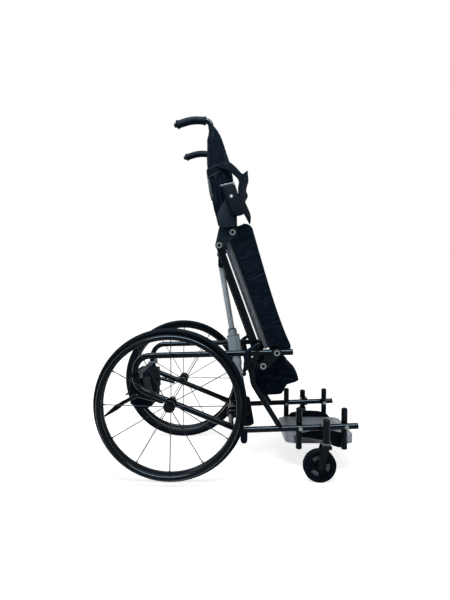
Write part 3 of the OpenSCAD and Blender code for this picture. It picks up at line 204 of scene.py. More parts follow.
def flowing(points, count, closed=False):
    """Smooth line through points: cubic spans whose slope at a point is half the step between its neighbours."""
    p = np.asarray(points, float)
    n = len(p)
    spans = n if closed else n - 1
    t = np.linspace(0, spans, spans * 24 + 1)
    i = np.minimum(t.astype(int), spans - 1)
    f = (t - i)[:, None]
    a, b, c, d = [p[(i + k) % n] if closed else p[np.clip(i + k, 0, n - 1)] for k in (-1, 0, 1, 2)]
    return even(0.5 * (2 * b + (c - a) * f + (2 * a - 5 * b + 4 * c - d) * f ** 2
                       + (3 * b - a - 3 * c + d) * f ** 3), count, closed)


def bent(points, radius, count):
    """Straight runs whose corners are cut back by radius times the tangent of half the turn, then rounded."""
    p = np.asarray(points, float)
    runs = np.diff(p, axis=0)
    runs /= np.linalg.norm(runs, axis=1)[:, None]
    t = np.linspace(0, 1, 17)[:, None]
    line = [p[:1]]
    for at, u, v in zip(p[1:-1], runs, runs[1:]):
        cut = radius * math.tan(math.acos(float(np.clip(u @ v, -1, 1))) / 2)
        line.append((1 - t) ** 2 * (at - cut * u) + 2 * t * (1 - t) * at + t ** 2 * (at + cut * v))
    return even(np.concatenate(line + [p[-1:]]), count)


def around(count):
    """Angles at even steps of a full turn."""
    return np.linspace(0, 2 * np.pi, count, endpoint=False)


def squared(wave, power):
    """A sine or cosine made steeper, so that a circle turns into a rounded square."""
    return np.sign(wave) * np.abs(wave) ** power


def ring(count):
    """Circle of radius one as section points."""
    a = around(count)
    return np.stack([np.cos(a), np.sin(a)], 1)


def flat_bar(width, thick, edge, turns=5):
    """Rectangle with rounded corners as section points."""
    a = np.linspace(0, np.pi / 2, turns)
    corner = edge * np.stack([np.cos(a), np.sin(a)], 1)
    quarter = corner + [width / 2 - edge, thick / 2 - edge]
    half = np.concatenate([quarter, quarter[::-1] * [-1, 1]])
    return np.concatenate([half, half[::-1] * [1, -1]])


def evened(section, count):
    """Closed section with its points at even steps."""
    return even(np.concatenate([section, section[:1]]), count, True)


def swept(path, section, side=ACROSS, closed=False):
    """Section carried along a path: its first axis stands square to the path and to the side axis, its second
    lies along the side axis. A stack of sections, one for each point, may change along the path."""
    path = np.asarray(path, float)
    if closed:
        run = np.roll(path, -1, 0) - np.roll(path, 1, 0)
    else:
        run = np.gradient(path, axis=0)
    run /= np.linalg.norm(run, axis=1)[:, None]
    out = np.cross(np.broadcast_to(side, run.shape), run)
    out /= np.linalg.norm(out, axis=1)[:, None]
    across = np.cross(run, out)
    section = np.broadcast_to(section, (len(path),) + np.shape(section)[-2:])
    return path[:, None] + section[..., :1] * out[:, None] + section[..., 1:] * across[:, None]


def turned(profile, place, axis, count):
    """Profile of radius and height turned round an axis through a place."""
    axis = np.asarray(axis, float) / np.linalg.norm(axis)
    u = np.cross(axis, UP if abs(axis[2]) < 0.9 else ACROSS)
    u /= np.linalg.norm(u)
    v = np.cross(axis, u)
    a = around(count)
    wheel = np.cos(a)[:, None] * u + np.sin(a)[:, None] * v
    profile = np.asarray(profile, float)
    return np.asarray(place) + profile[:, None, :1] * wheel + profile[:, None, 1:] * axis


def plate(outline, low, high, edge, axes, turns=5):
    """Flat piece with rounded rims: the outline is drawn in along its normals by a quarter circle near both faces,
    from low to high across the chair, in the axes of a leaning member."""
    p = np.asarray(outline, float)
    run = np.roll(p, -1, 0) - np.roll(p, 1, 0)
    normal = np.stack([run[:, 1], -run[:, 0]], 1) / np.linalg.norm(run, axis=1)[:, None]
    area = np.sum(p[:, 0] * np.roll(p[:, 1], -1) - np.roll(p[:, 0], -1) * p[:, 1])
    normal *= np.sign(area)
    a = np.linspace(0, np.pi / 2, turns)
    inset = edge * np.concatenate([1 - np.sin(a), (1 - np.sin(a))[::-1]])
    height = np.concatenate([low + edge * (1 - np.cos(a)), high - edge * (1 - np.cos(a[::-1]))])
    q = p[None] - inset[:, None, None] * normal[None]
    return axes.out(q[..., 0], height[:, None], q[..., 1])


def shell(rows, closed=False):
    """Skin over a grid of points that closes round its second way, facing outwards: a ring where the first way
    closes too, or else with fans on its two ends. Its UV map runs in metres along and round the grid."""
    m, n = rows.shape[:2]
    i, j = np.meshgrid(np.arange(m - (not closed)), np.arange(n), indexing="ij")
    corners = ((i, j), (i, j + 1), (i + 1, j + 1), (i + 1, j))
    quads = np.stack([(a % m) * n + b % n for a, b in corners], -1).reshape(-1, 4)
    steps = [np.linalg.norm(np.roll(rows, -1, k) - rows, axis=2).mean(1 - k) for k in (0, 1)]
    along, around = [np.concatenate([[0], np.cumsum(s)]) for s in steps]
    quad_uv = np.stack([np.stack([along[a], around[b]], -1) for a, b in corners], 2).reshape(-1, 4, 2)
    points = rows.reshape(-1, 3)
    tris, tri_uv = np.zeros((0, 3), int), np.zeros((0, 3, 2))
    if not closed:
        k = np.arange(n)
        first = np.stack([np.full(n, m * n), (k + 1) % n, k], 1)
        last = np.stack([np.full(n, m * n + 1), (m - 1) * n + k, (m - 1) * n + (k + 1) % n], 1)
        tris = np.concatenate([first, last])
        points = np.concatenate([points, rows[:1].mean(1), rows[-1:].mean(1)])
        tri_uv = np.stack([np.zeros((2 * n, 2)), np.tile(np.stack([0 * k, around[k]], 1), (2, 1)),
                           np.tile(np.stack([0 * k, around[k + 1]], 1), (2, 1))], 1)
    faces = points[np.concatenate([quads[:, :3], quads[:, [0, 2, 3]], tris])]
    if np.einsum("ij,ij->", faces[:, 0], np.cross(faces[:, 1], faces[:, 2])) < 0:
        quads, quad_uv, tris, tri_uv = quads[:, ::-1], quad_uv[:, ::-1], tris[:, ::-1], tri_uv[:, ::-1]
    return points, quads, tris, quad_uv, tri_uv


def skin(path, section, side=ACROSS, closed=False):
    """Skin of a section carried along a path."""
    return shell(swept(path, section, side, closed), closed)


def cord(path, radius, count, side=ACROSS, closed=False):
    """Round skin along a path, with one radius or one for each point."""
    return skin(path, ring(count) * np.reshape(radius, (-1, 1, 1)), side, closed)


def knob(profile, place, axis, count):
    """Skin of a profile turned round an axis, closed at both ends."""
    return shell(turned(profile, place, axis, count))


def hoop(profile, place, axis, count):
    """Skin of a closed profile turned round an axis."""
    return shell(turned(profile, place, axis, count), True)


def piece(name, skins, finish, body, stands_for=(), sharp=38):
    """One mesh from several skins, smooth except at sharp edges, that rides on a body of the chair."""
    starts = np.cumsum([0] + [len(s[0]) for s in skins])
    mesh = bpy.data.meshes.new(name)
    quads = np.concatenate([s[1] + k for s, k in zip(skins, starts)])
    tris = np.concatenate([s[2] + k for s, k in zip(skins, starts)])
    mesh.from_pydata(np.concatenate([s[0] for s in skins]).tolist(), [], quads.tolist() + tris.tolist())
    uv = np.concatenate([s[3].reshape(-1, 2) for s in skins] + [s[4].reshape(-1, 2) for s in skins])
    mesh.uv_layers.new(name="UVMap").data.foreach_set("uv", uv.astype(np.float32).ravel())
    mesh.materials.append(finish)
    mesh.shade_smooth()
    mesh.set_sharp_from_angle(angle=math.radians(sharp))
    obj = bpy.data.objects.new(name, mesh)
    bpy.context.scene.collection.objects.link(obj)
    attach(obj, body)
    if stands_for:
        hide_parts(*stands_for)
    return obj


def points_of(mesh):
    co = np.zeros(len(mesh.vertices) * 3, np.float32)
    mesh.vertices.foreach_get("co", co)
    return co.reshape(-1, 3).astype(float)


def normals_of(mesh):
    n = np.zeros(len(mesh.vertices) * 3, np.float32)
    mesh.vertex_normals.foreach_get("vector", n)
    return n.reshape(-1, 3).astype(float)


def put_points(mesh, points):
    mesh.vertices.foreach_set("co", points.astype(np.float32).ravel())
    mesh.update()


def swell(obj, voxel, most):
    """Pads a closed skin: an even voxel mesh of it is blown up as cloth by an inner pressure, no point moves
    further than the most given, and the result is subdivided once."""
    scene, finish = bpy.context.scene, obj.data.materials[0]

    def baked(thing):
        made = bpy.data.meshes.new_from_object(thing.evaluated_get(bpy.context.evaluated_depsgraph_get()))
        thing.modifiers.clear()
        return made

    trial = bpy.data.objects.new("trial", obj.data.copy())
    scene.collection.objects.link(trial)
    remesh = trial.modifiers.new("Even mesh", "REMESH")
    remesh.mode, remesh.voxel_size = "VOXEL", voxel
    trial.data = baked(trial)
    rest = points_of(trial.data)
    cloth = trial.modifiers.new("Pad", "CLOTH")
    cloth.settings.use_pressure = True
    cloth.settings.uniform_pressure_force = PRESSURE
    cloth.settings.effector_weights.gravity = 0
    cloth.settings.quality = STEPS
    cloth.point_cache.frame_start, cloth.point_cache.frame_end = 1, LAST_FRAME
    for f in range(1, LAST_FRAME + 1):
        scene.frame_set(f)
    blown = baked(trial)
    move = points_of(blown) - rest
    far = np.linalg.norm(move, axis=1, keepdims=True)
    scene.frame_set(1)
    put_points(trial.data, rest + move * np.minimum(1, most / np.maximum(far, 1e-9)))
    finer = trial.modifiers.new("Finer", "SUBSURF")
    finer.levels = finer.render_levels = 1
    obj.data = baked(trial)
    bpy.data.objects.remove(trial)
    obj.data.materials.clear()
    obj.data.materials.append(finish)
    obj.data.shade_smooth()


# Node groups and finishes

class Tree:
    """Short way to place and link nodes in a node tree."""

    def __init__(self, tree):
        self.tree = tree

    def node(self, kind, inputs=None, **settings):
        made = self.tree.nodes.new(kind)
        for k, v in settings.items():
            setattr(made, k, v)
        for k, v in (inputs or {}).items():
            if isinstance(v, bpy.types.NodeSocket):
                self.tree.links.new(v, made.inputs[k])
            else:
                made.inputs[k].default_value = v
        return made

    def math(self, operation, *values, clamp=False):
        return self.node("ShaderNodeMath", dict(enumerate(values)), operation=operation, use_clamp=clamp).outputs[0]

    def times(self, a, b):
        return self.math("MULTIPLY", a, b)

    def plus(self, a, b, clamp=False):
        return self.math("ADD", a, b, clamp=clamp)

    def mix(self, share, a, b):
        """Colour mix; a plain colour has three numbers."""
        full = [v if isinstance(v, bpy.types.NodeSocket) else (*v, 1) for v in (a, b)]
        return self.node("ShaderNodeMix", {0: share, 6: full[0], 7: full[1]}, data_type="RGBA").outputs[2]

    def stretch(self, value, low, high, to_low=0.0, to_high=1.0):
        return self.node("ShaderNodeMapRange", {0: value, 1: low, 2: high, 3: to_low, 4: to_high}).outputs[0]

    def noise(self, vector, scale, detail=2.0):
        return self.node("ShaderNodeTexNoise", {"Vector": vector, "Scale": scale, "Detail": detail}).outputs["Fac"]


def group(name, inputs, outputs, build):
    """Shader node group with named number and vector inputs and number outputs, built once."""
    if name in bpy.data.node_groups:
        return bpy.data.node_groups[name]
    made = bpy.data.node_groups.new(name, "ShaderNodeTree")
    for label, default in inputs:
        vector = hasattr(default, "__len__")
        kind = "NodeSocketVector" if vector else "NodeSocketFloat"
        made.interface.new_socket(label, in_out="INPUT", socket_type=kind).default_value = default
    for label in outputs:
        made.interface.new_socket(label, in_out="OUTPUT", socket_type="NodeSocketFloat")
    tree = Tree(made)
    given = made.nodes.new("NodeGroupInput").outputs
    made.nodes.new("NodeGroupOutput")
    result = build(tree, given)
    target = next(n for n in made.nodes if n.type == "GROUP_OUTPUT")
    for label in outputs:
        made.links.new(result[label], target.inputs[label])
    return made


def build_weave(t, given):
    """Plain weave on each face: the product of two sine waves across it, shared by the squares of the normal."""
    place = t.node("ShaderNodeTexCoord")
    p = t.node("ShaderNodeSeparateXYZ", {0: place.outputs["Object"]}).outputs
    n = t.node("ShaderNodeSeparateXYZ", {0: place.outputs["Normal"]}).outputs
    s = [t.math("SINE", t.times(k, given["Threads"])) for k in p]
    parts = [t.times(t.times(n[k], n[k]), t.times(s[(k + 1) % 3], s[(k + 2) % 3]))
             for k in range(3)]
    total = t.plus(t.plus(parts[0], parts[1]), parts[2])
    return {"Height": t.stretch(total, -1.0, 1.0)}


def build_grain(t, given):
    """Fine noise for the grain, broad noise for the tone."""
    place = t.node("ShaderNodeTexCoord").outputs["Object"]
    return {"Height": t.noise(place, given["Scale"], 3.0), "Tone": t.noise(place, 9.0, 4.0)}


def build_dust(t, given):
    """Dust: faces that look up, broken by noise. Scuffs: the peaks of a long noise."""
    place = t.node("ShaderNodeTexCoord")
    up = t.node("ShaderNodeSeparateXYZ", {0: place.outputs["Normal"]}).outputs[2]
    cloud = t.noise(place.outputs["Object"], 26.0, 5.0)
    dust = t.times(t.stretch(up, 0.35, 1.0), t.stretch(cloud, 0.35, 0.75))
    long = t.node("ShaderNodeMapping", {0: place.outputs["Object"], 3: (70.0, 70.0, 18.0)}).outputs[0]
    scuff = t.stretch(t.noise(long, 1.0, 6.0), 0.62, 0.74)
    return {"Dust": t.times(dust, given["Amount"]), "Scuffs": t.times(scuff, given["Amount"])}


def build_lines(t, given):
    """Brushed lines: noise on coordinates that are squeezed along the brushing."""
    place = t.node("ShaderNodeTexCoord").outputs["Object"]
    long = t.node("ShaderNodeVectorMath", {0: place, 1: given["Squeeze"]}, operation="MULTIPLY").outputs[0]
    return {"Lines": t.noise(long, 1.0, 4.0)}


def build_folds(t, given):
    """Soft creases: ridges of a noise on turned and squeezed coordinates; Streak is high where the ridge is sharp and
    marks where a highlight is painted.
    """
    place = t.node("ShaderNodeTexCoord").outputs["Object"]
    lean = {"Vector": place, "Angle": given["Lean"]}
    leant = t.node("ShaderNodeVectorRotate", lean, rotation_type="Y_AXIS").outputs[0]
    long = t.node("ShaderNodeVectorMath", {0: leant, 1: given["Squeeze"]}, operation="MULTIPLY").outputs[0]
    wave = t.noise(long, 1.0, 3.0)
    ridge = t.math("ABSOLUTE", t.math("SUBTRACT", wave, 0.5))
    return {"Streak": t.stretch(ridge, 0.05, 0.0), "Height": wave}


def build_ribs(t, given):
    """Strap ribs: fine waves along the strap's UV map, crossed by coarser ones."""
    uv = t.node("ShaderNodeSeparateXYZ", {0: t.node("ShaderNodeTexCoord").outputs["UV"]}).outputs
    fine = t.math("SINE", t.times(uv[0], given["Picks"]))
    cords = t.math("SINE", t.times(uv[1], given["Cords"]))
    return {"Height": t.stretch(t.times(fine, cords), -1.0, 1.0)}


GROUPS = {
    "Cloth weave": ([("Threads", 2850.0)], ["Height"], build_weave),
    "Fine grain": ([("Scale", 900.0)], ["Height", "Tone"], build_grain),
    "Dust and scuffs": ([("Amount", 0.5)], ["Dust", "Scuffs"], build_dust),
    "Brushed lines": ([("Squeeze", (40.0, 900.0, 900.0))], ["Lines"], build_lines),
    "Soft folds": ([("Squeeze", (40.0, 40.0, 12.0)), ("Lean", 0.0)], ["Streak", "Height"], build_folds),
    "Strap ribs": ([("Picks", 3000.0), ("Cords", 1400.0)], ["Height"], build_ribs),
}


def finish(name, **fixed):
    """New material with its shader's plain values set, and a way to place shared groups in it."""
    made = bpy.data.materials.new(name)
    made.use_nodes = True
    t = Tree(made.node_tree)
    shader = made.node_tree.nodes["Principled BSDF"]
    for k, v in fixed.items():
        shader.inputs[k.replace("_", " ").title().replace("Ior", "IOR")].default_value = v

    def use(label, **inputs):
        return t.node("ShaderNodeGroup", inputs, node_tree=group(label, *GROUPS[label])).outputs

    def feed(socket, value):
        t.tree.links.new(value, shader.inputs[socket])

    def relief(height, depth, strength=0.5):
        feed("Normal", t.node("ShaderNodeBump", {"Height": height, "Distance": depth, "Strength": strength}).outputs[0])

    return made, t, use, feed, relief


# Tints of what dark surfaces and paint mirror
COOL, PAINT_TINT = (0.5, 0.75, 1.0, 1.0), (0.55, 0.78, 1.0, 1.0)


def painted(name, base, rough, amount=0.5):
    """Sprayed paint: orange peel, dust on top, worn grey scuffs."""
    made, t, use, feed, relief = finish(name, specular_ior_level=0.1, specular_tint=PAINT_TINT)
    dust, grain = use("Dust and scuffs", Amount=amount), use("Fine grain", Scale=420.0)
    worn = t.mix(t.times(dust["Scuffs"], 0.35), base, [min(1, k * 3 + 0.03) for k in base])
    feed("Base Color", t.mix(t.times(dust["Dust"], 0.12), worn, colours().dust))
    feed("Roughness", t.plus(t.stretch(grain["Tone"], 0.3, 0.7, rough - 0.05, rough + 0.08),
                             t.times(dust["Dust"], 0.2), clamp=True))
    relief(grain["Height"], 0.0002, 0.25)
    return made


def metal(name, base, rough, squeeze=(60.0, 700.0, 700.0), contrast=0.3):
    """Bare or clear-coated metal with brushed lines and dulled patches."""
    made, t, use, feed, relief = finish(name, metallic=1.0)
    lines, grain = use("Brushed lines", Squeeze=squeeze)["Lines"], use("Fine grain", Scale=260.0)
    feed("Base Color", t.mix(t.stretch(lines, 0.3, 0.7), [k * (1 - contrast) for k in base], base))
    feed("Roughness", t.plus(t.stretch(lines, 0.3, 0.7, rough - 0.06, rough + 0.06),
                             t.stretch(grain["Tone"], 0.4, 0.8, 0.0, 0.1), clamp=True))
    relief(lines, 0.0002, 0.2)
    return made


def moulded(name, base, rough, scale=900.0, amount=0.4):
    """Moulded plastic or rubber: pebble grain, dull patches, a little dust."""
    made, t, use, feed, relief = finish(name, specular_ior_level=0.035, specular_tint=COOL)
    dust, grain = use("Dust and scuffs", Amount=amount), use("Fine grain", Scale=scale)
    tone = t.mix(t.stretch(grain["Tone"], 0.3, 0.7), [k * 0.8 for k in base], [min(1, k * 1.2) for k in base])
    feed("Base Color", t.mix(t.times(dust["Dust"], 0.14), tone, colours().dust))
    feed("Roughness", t.stretch(grain["Tone"], 0.3, 0.7, rough - 0.07, rough + 0.08))
    relief(grain["Height"], 0.0003, 0.35)
    return made


def woven(name, base, squeeze, lean=0.0, threads=2850.0, streak=0.6):
    """Cover cloth: plain weave, soft creases, and a painted highlight along the ridges of the creases."""
    made, t, use, feed, relief = finish(name, specular_ior_level=0.014, specular_tint=COOL)
    weave, grain = use("Cloth weave", Threads=threads), use("Fine grain")
    folds = use("Soft folds", Squeeze=squeeze, Lean=math.radians(lean))
    thread = t.mix(t.times(weave["Height"], 0.5), base, [k * 1.7 for k in base])
    # Painted highlight: the cloth is lightened towards the highlight colour along the ridges of the creases
    lit = t.times(t.times(folds["Streak"], grain["Tone"]), streak)
    feed("Base Color", t.mix(lit, thread, colours().cloth_painted_highlight))
    feed("Roughness", t.stretch(grain["Tone"], 0.3, 0.7, 0.66, 0.84))
    relief(t.plus(t.times(weave["Height"], 0.12), folds["Height"]), 0.0035, 0.55)
    return made


def strap(name, base, picks=3000.0, cords=1400.0):
    """Woven webbing: ribs along the strap and worn, paler high spots."""
    made, t, use, feed, relief = finish(name, specular_ior_level=0.025, specular_tint=COOL)
    ribs, grain = use("Strap ribs", Picks=picks, Cords=cords), use("Fine grain", Scale=500.0)
    tone = t.mix(t.stretch(ribs["Height"], 0.2, 0.9), [k * 0.6 for k in base], [min(1, k * 1.3) for k in base])
    feed("Base Color", t.mix(t.stretch(grain["Tone"], 0.45, 0.8, 0.0, 0.25), tone, colours().dust))
    feed("Roughness", t.stretch(grain["Tone"], 0.3, 0.7, 0.7, 0.86))
    relief(t.plus(ribs["Height"], t.times(grain["Height"], 0.3)), 0.0006, 0.5)
    return made


def hue(label, share=1.0):
    """A colour of the chair, or a share of it."""
    return [share * k for k in getattr(colours(), label)]


def all_finishes():
    """Every finish of the chair by its name, made once."""
    if not finishes:
        finishes.update(
            paint=painted("Frame paint", hue("paint"), 0.18),
            plate=painted("Bracket paint", hue("plate"), 0.4),
            rail=painted("Rail paint", hue("rail"), 0.42),
            steel=metal("Bolt steel", hue("steel"), 0.24, (300.0, 300.0, 300.0)),
            spoke=metal("Spoke wire", hue("spoke"), 0.36),
            aluminium=metal("Brushed aluminium", hue("aluminium"), 0.38, (18.0, 900.0, 900.0)),
            rod=painted("Rod coating", hue("rod"), 0.36, 0.3),
            housing=moulded("Actuator housing", hue("housing"), 0.5, 700.0, 0.3),
            pale=moulded("Pale plastic", hue("pale"), 0.48, 800.0, 0.2),
            white=moulded("White plastic", hue("white"), 0.4, 800.0, 0.1),
            plastic=moulded("Black plastic", hue("plastic"), 0.46, 800.0),
            rubber=moulded("Rubber", hue("rubber"), 0.58, 600.0),
            tyre=moulded("Tyre rubber", hue("tyre"), 0.66, 500.0, 0.5),
            pane=moulded("Core panes", hue("pale", 0.5), 0.4, 500.0, 0.6),
            seal=moulded("Seal ring", hue("seal"), 0.5, 800.0, 0.2),
            cushion=woven("Cushion cloth", hue("cloth"), (9.0, 30.0, 46.0), 20.4, streak=0.55),
            cover=woven("Back cover cloth", hue("cloth"), (70.0, 60.0, 5.0), BACK_LEAN, streak=1.0),
            pad=woven("Calf pad cloth", hue("cloth", 0.75), (14.0, 26.0, 40.0), -8.0, streak=0.4),
            bag=woven("Bag cloth", hue("cloth", 0.55), (30.0, 40.0, 26.0), threads=2000.0, streak=0.2),
            belt=strap("Belt webbing", hue("cloth", 1.1), 2400.0, 1100.0),
            webbing=strap("Grey webbing", hue("webbing")),
        )
    return finishes


finishes = {}


def twins(*names):
    """Names of the nodes that each side has."""
    return [f"{side}_{name}" for name in names for side in SIDES]


CAD_FINISH = {
    "paint": ["leg_tubes", "leg_cross_tube", "lower_cross_tube", "knee_brackets", "footplate_bars", "footrest_posts",
              "caster_housings", "lock_brackets", "seat_sides", "back_canes", "back_bar", "lift_links",
              "link_cross_tube", "wheel_axles",
              *twins("side_frame", "caster_fork", "lock_lever", "handrim", "rim", "hub")],
    "plate": ["back_brackets"],
    "rail": ["seat_tubes"],
    "steel": ["frame_bolts", "back_bolts"],
    "spoke": twins("spokes"),
    "aluminium": ["footplate"],
    "rod": ["actuator_rod", "actuator_tube"],
    "housing": ["actuator_head", "control_clip"],
    "white": ["lift_button"],
    "plastic": ["foot_guards", "seat_base", "actuator_motor", "battery_pack", *twins("caster_core")],
    "rubber": ["tube_caps", "frame_feet"],
    "tyre": twins("caster_tyre"),
}


class CHAIR_OT_cad_finishes(bpy.types.Operator):
    """Puts a finish on each node that stays as the drawing has it"""
    bl_idname = "chair.cad_finishes"
    bl_label = "Finish the frame"

    def execute(self, context):
        look = all_finishes()
        for label, names in CAD_FINISH.items():
            for name in names:
                mesh = frame["nodes"][name].data
                mesh.materials.clear()
                mesh.materials.append(look[label])
        return {"FINISHED"}


def cushion_depth(z, size):
    """Cushion's depth along the seat: a rise to the upper end less a dip in the middle, and quarter circles at
    both ends."""
    low, high, rise_end = size.cushion_low, size.cushion_top, 0.519
    s = np.clip((z - low) / (rise_end - low), 0, 1)
    full = size.cushion_thick * (1 + 0.28 * s - 0.285 * np.sin(np.pi * s ** 0.65))
    lower, upper = [np.sqrt(1 - np.clip(1 - end / r, 0, 1) ** 2)
                    for end, r in ((z - low, 0.024), (high - z, 0.036))]
    return full * np.minimum(0.5 + 0.5 * lower, 0.3 + 0.7 * upper)


# Creases of the cushion's side panels: place along the seat, and lean
CREASES = ((0.452, 0.25), (0.438, -0.2), (0.33, 0.3), (0.316, 0.1), (0.21, -0.25), (0.115, 0.2), (0.1, -0.1))


class CHAIR_OT_seat_cushion(bpy.types.Operator):
    """Seat cushion with sewn channels, and side panels with a hem cord"""
    bl_idname = "chair.seat_cushion"
    bl_label = "Seat cushion"

    def execute(self, context):
        size, look = sizes(), all_finishes()
        low, high, base = size.cushion_low, size.cushion_top, size.cushion_base
        thick, half, slack = size.cushion_thick, size.cushion_half, 0.004
        # Rows along the seat, closer at the rounded ends
        arc = 0.036 * (1 - np.cos(np.linspace(0, np.pi / 2, 14)))
        z = np.concatenate([low + arc, np.linspace(low + 0.042, high - 0.042, 70), high - arc[::-1]])
        tall = (cushion_depth(z, size) - slack)[:, None]
        wide = (half - slack / 2) * (0.985 + 0.015 * smooth(0, 0.02, np.minimum(z - low, high - z)))[:, None]
        a = around(96)[None]
        u, v = squared(np.cos(a), 0.24), squared(np.sin(a), 0.24)
        crown = size.cushion_crown * (1 - v ** 2) * np.clip(tall / thick, 0, 1) ** 2
        rows = seat.out(base + tall / 2 + u * tall / 2 + np.where(u > 0, crown * u, 0), wide * v, z[:, None])
        cushion = piece("seat_cushion_cover", [shell(rows)], look["cushion"], "seat", ["seat_cushion"])
        swell(cushion, size.voxel, size.swell)
        # Channels, puckers beside them, and the flat rear on the base
        x, y, z = seat.into(points_of(cushion.data))
        deep = cushion_depth(z, size)
        share = (z - low) / (high - low) * size.channels
        off = (share - np.round(share)) / size.channels * (high - low)
        face = smooth(base + 0.5 * deep, base + 0.9 * deep, x) * smooth(0.8, 0.64, np.abs(y) / half)
        seam = bump(off, 0.005) + 0.45 * bump(off, 0.017)
        pucker = np.sin(y / 0.0034 + 2.1 * np.round(share)) * bump(np.abs(off) - 0.008, 0.006)
        x = x - face * (0.0046 * seam + 0.0007 * pucker)
        x = np.clip(x, base, base + deep + size.cushion_crown * (1 - (y / half) ** 2))
        y = np.clip(y, -half + 0.0004, half - 0.0004)
        put_points(cushion.data, seat.out(x, y, np.clip(z, low - 0.001, high + 0.001)))
        # Side panels from the seat bars to the front edge, with a hem cord; clear of both pivots
        z = np.linspace(low + 0.0015, high - 0.0015, 240)[:, None]
        first = -0.0125 + 0.029 * (1 - smooth(0.022, 0.036, z) + smooth(0.464, 0.478, z))
        last = base + cushion_depth(z, size) - 0.0006
        bar = evened(flat_bar(2.0, 2.0, 0.12, 4), 120)[None]
        x = (first + last) / 2 + bar[..., 0] * (last - first) / 2
        room = smooth(0.06, 0.1, z) * smooth(0.385, 0.345, z)
        across = np.clip(1 - bar[..., 0] ** 2, 0, 1)
        creases = sum(bump(z - at - lean * (x - 0.03), 0.0028) * smooth(0.0, 0.5, across) for at, lean in CREASES)
        wave = np.sin(z / 0.021 + x / 0.017) * np.sin(x / 0.012 - z / 0.05)
        bulge = 0.0042 * across ** 0.7 + 0.0012 * wave * across - 0.003 * creases
        # Further in near the hip, where the back brackets pass
        hip = smooth(0.36, 0.41, z)
        y = half + 0.0013 - 0.0006 * hip + 0.0008 * bar[..., 1] + room * bulge
        hem_x, hem_y, hem_z = (last - 0.0016)[:, 0], (half + 0.0008 - 0.0026 * hip)[:, 0], z[:, 0]
        skins = []
        for sign in SIGNS:
            skins += [shell(seat.out(x, sign * y, z)), cord(seat.out(hem_x, sign * hem_y, hem_z), size.piping, 10)]
        panels = piece("cushion_sides", skins, look["cushion"], "seat")
        return {"FINISHED"}


# Heights along the back and how far the cover stands in front of and behind the canes there
BACK_FRONT = np.array([
    [0.062, 0.044], [0.136, 0.055], [0.195, 0.0585], [0.259, 0.0535], [0.292, 0.048], [0.324, 0.0425],
    [0.341, 0.039], [0.357, 0.035], [0.374, 0.029], [0.384, 0.0245], [0.392, 0.0195], [0.398, 0.015]])
BACK_REAR = np.array([
    [0.062, 0.024], [0.1, 0.028], [0.148, 0.034], [0.221, 0.0385], [0.259, 0.036], [0.275, 0.034], [0.306, 0.029],
    [0.337, 0.0245], [0.353, 0.0225], [0.368, 0.0175], [0.383, 0.0135], [0.398, 0.0128]])
# Half of the back cover's section: shares of its front or rear depth and of its half width
FRONT_SHARES = np.array([[0.86, 0], [0.88, 0.14], [0.9, 0.28], [0.93, 0.42], [0.97, 0.56], [1, 0.7], [0.98, 0.8],
                         [0.86, 0.9], [0.62, 0.96], [0.3, 0.99], [0, 1]])
REAR_SHARES = np.array([[0.4, 0.985], [0.75, 0.95], [1, 0.91], [0.95, 0.87], [0.5, 0.83]])
# Shares of the half width over its flat middle, and how far that stands in front of the canes
MID_SHARES, MID_FRONT = [0.78, 0.6, 0.4, 0.2, 0], 0.0095
# Outline of the plates over the cane feet, in millimetres to the front and along the back
CANE_PLATE = [(17, 97), (23, 89), (31, 76), (38, 50), (46, 30), (49, 8), (44, -8), (10, -10), (-18, -7), (-26, 14),
              (-25, 38), (-17, 57), (-5, 74), (9, 93)]
# Height along the back of the bands that hold the chest belts
BAND_AT = 0.222


def back_section(z, half, inset, count=132):
    """Closed section of the back cover at heights z: front and rear shares times the depths there."""
    deep = np.interp(z, *flowing(BACK_FRONT, 60).T)[:, None] - inset
    rear = np.interp(z, *BACK_REAR.T)[:, None] - inset
    f, r = FRONT_SHARES, REAR_SHARES
    flat = np.full((len(z), len(MID_SHARES)), MID_FRONT) * np.clip(deep / 0.02, 0, 1)
    x = np.concatenate([deep * f[:, 0], -rear * r[:, 0], flat], 1)
    y = (half - inset / 2) * np.concatenate([f[:, 1], r[:, 1], MID_SHARES])
    y = np.broadcast_to(y, x.shape)
    x = np.concatenate([x, x[:, -2:0:-1]], 1)
    y = np.concatenate([y, -y[:, -2:0:-1]], 1)
    return np.stack([flowing(np.stack(k, 1), count, True) for k in zip(x, y)])


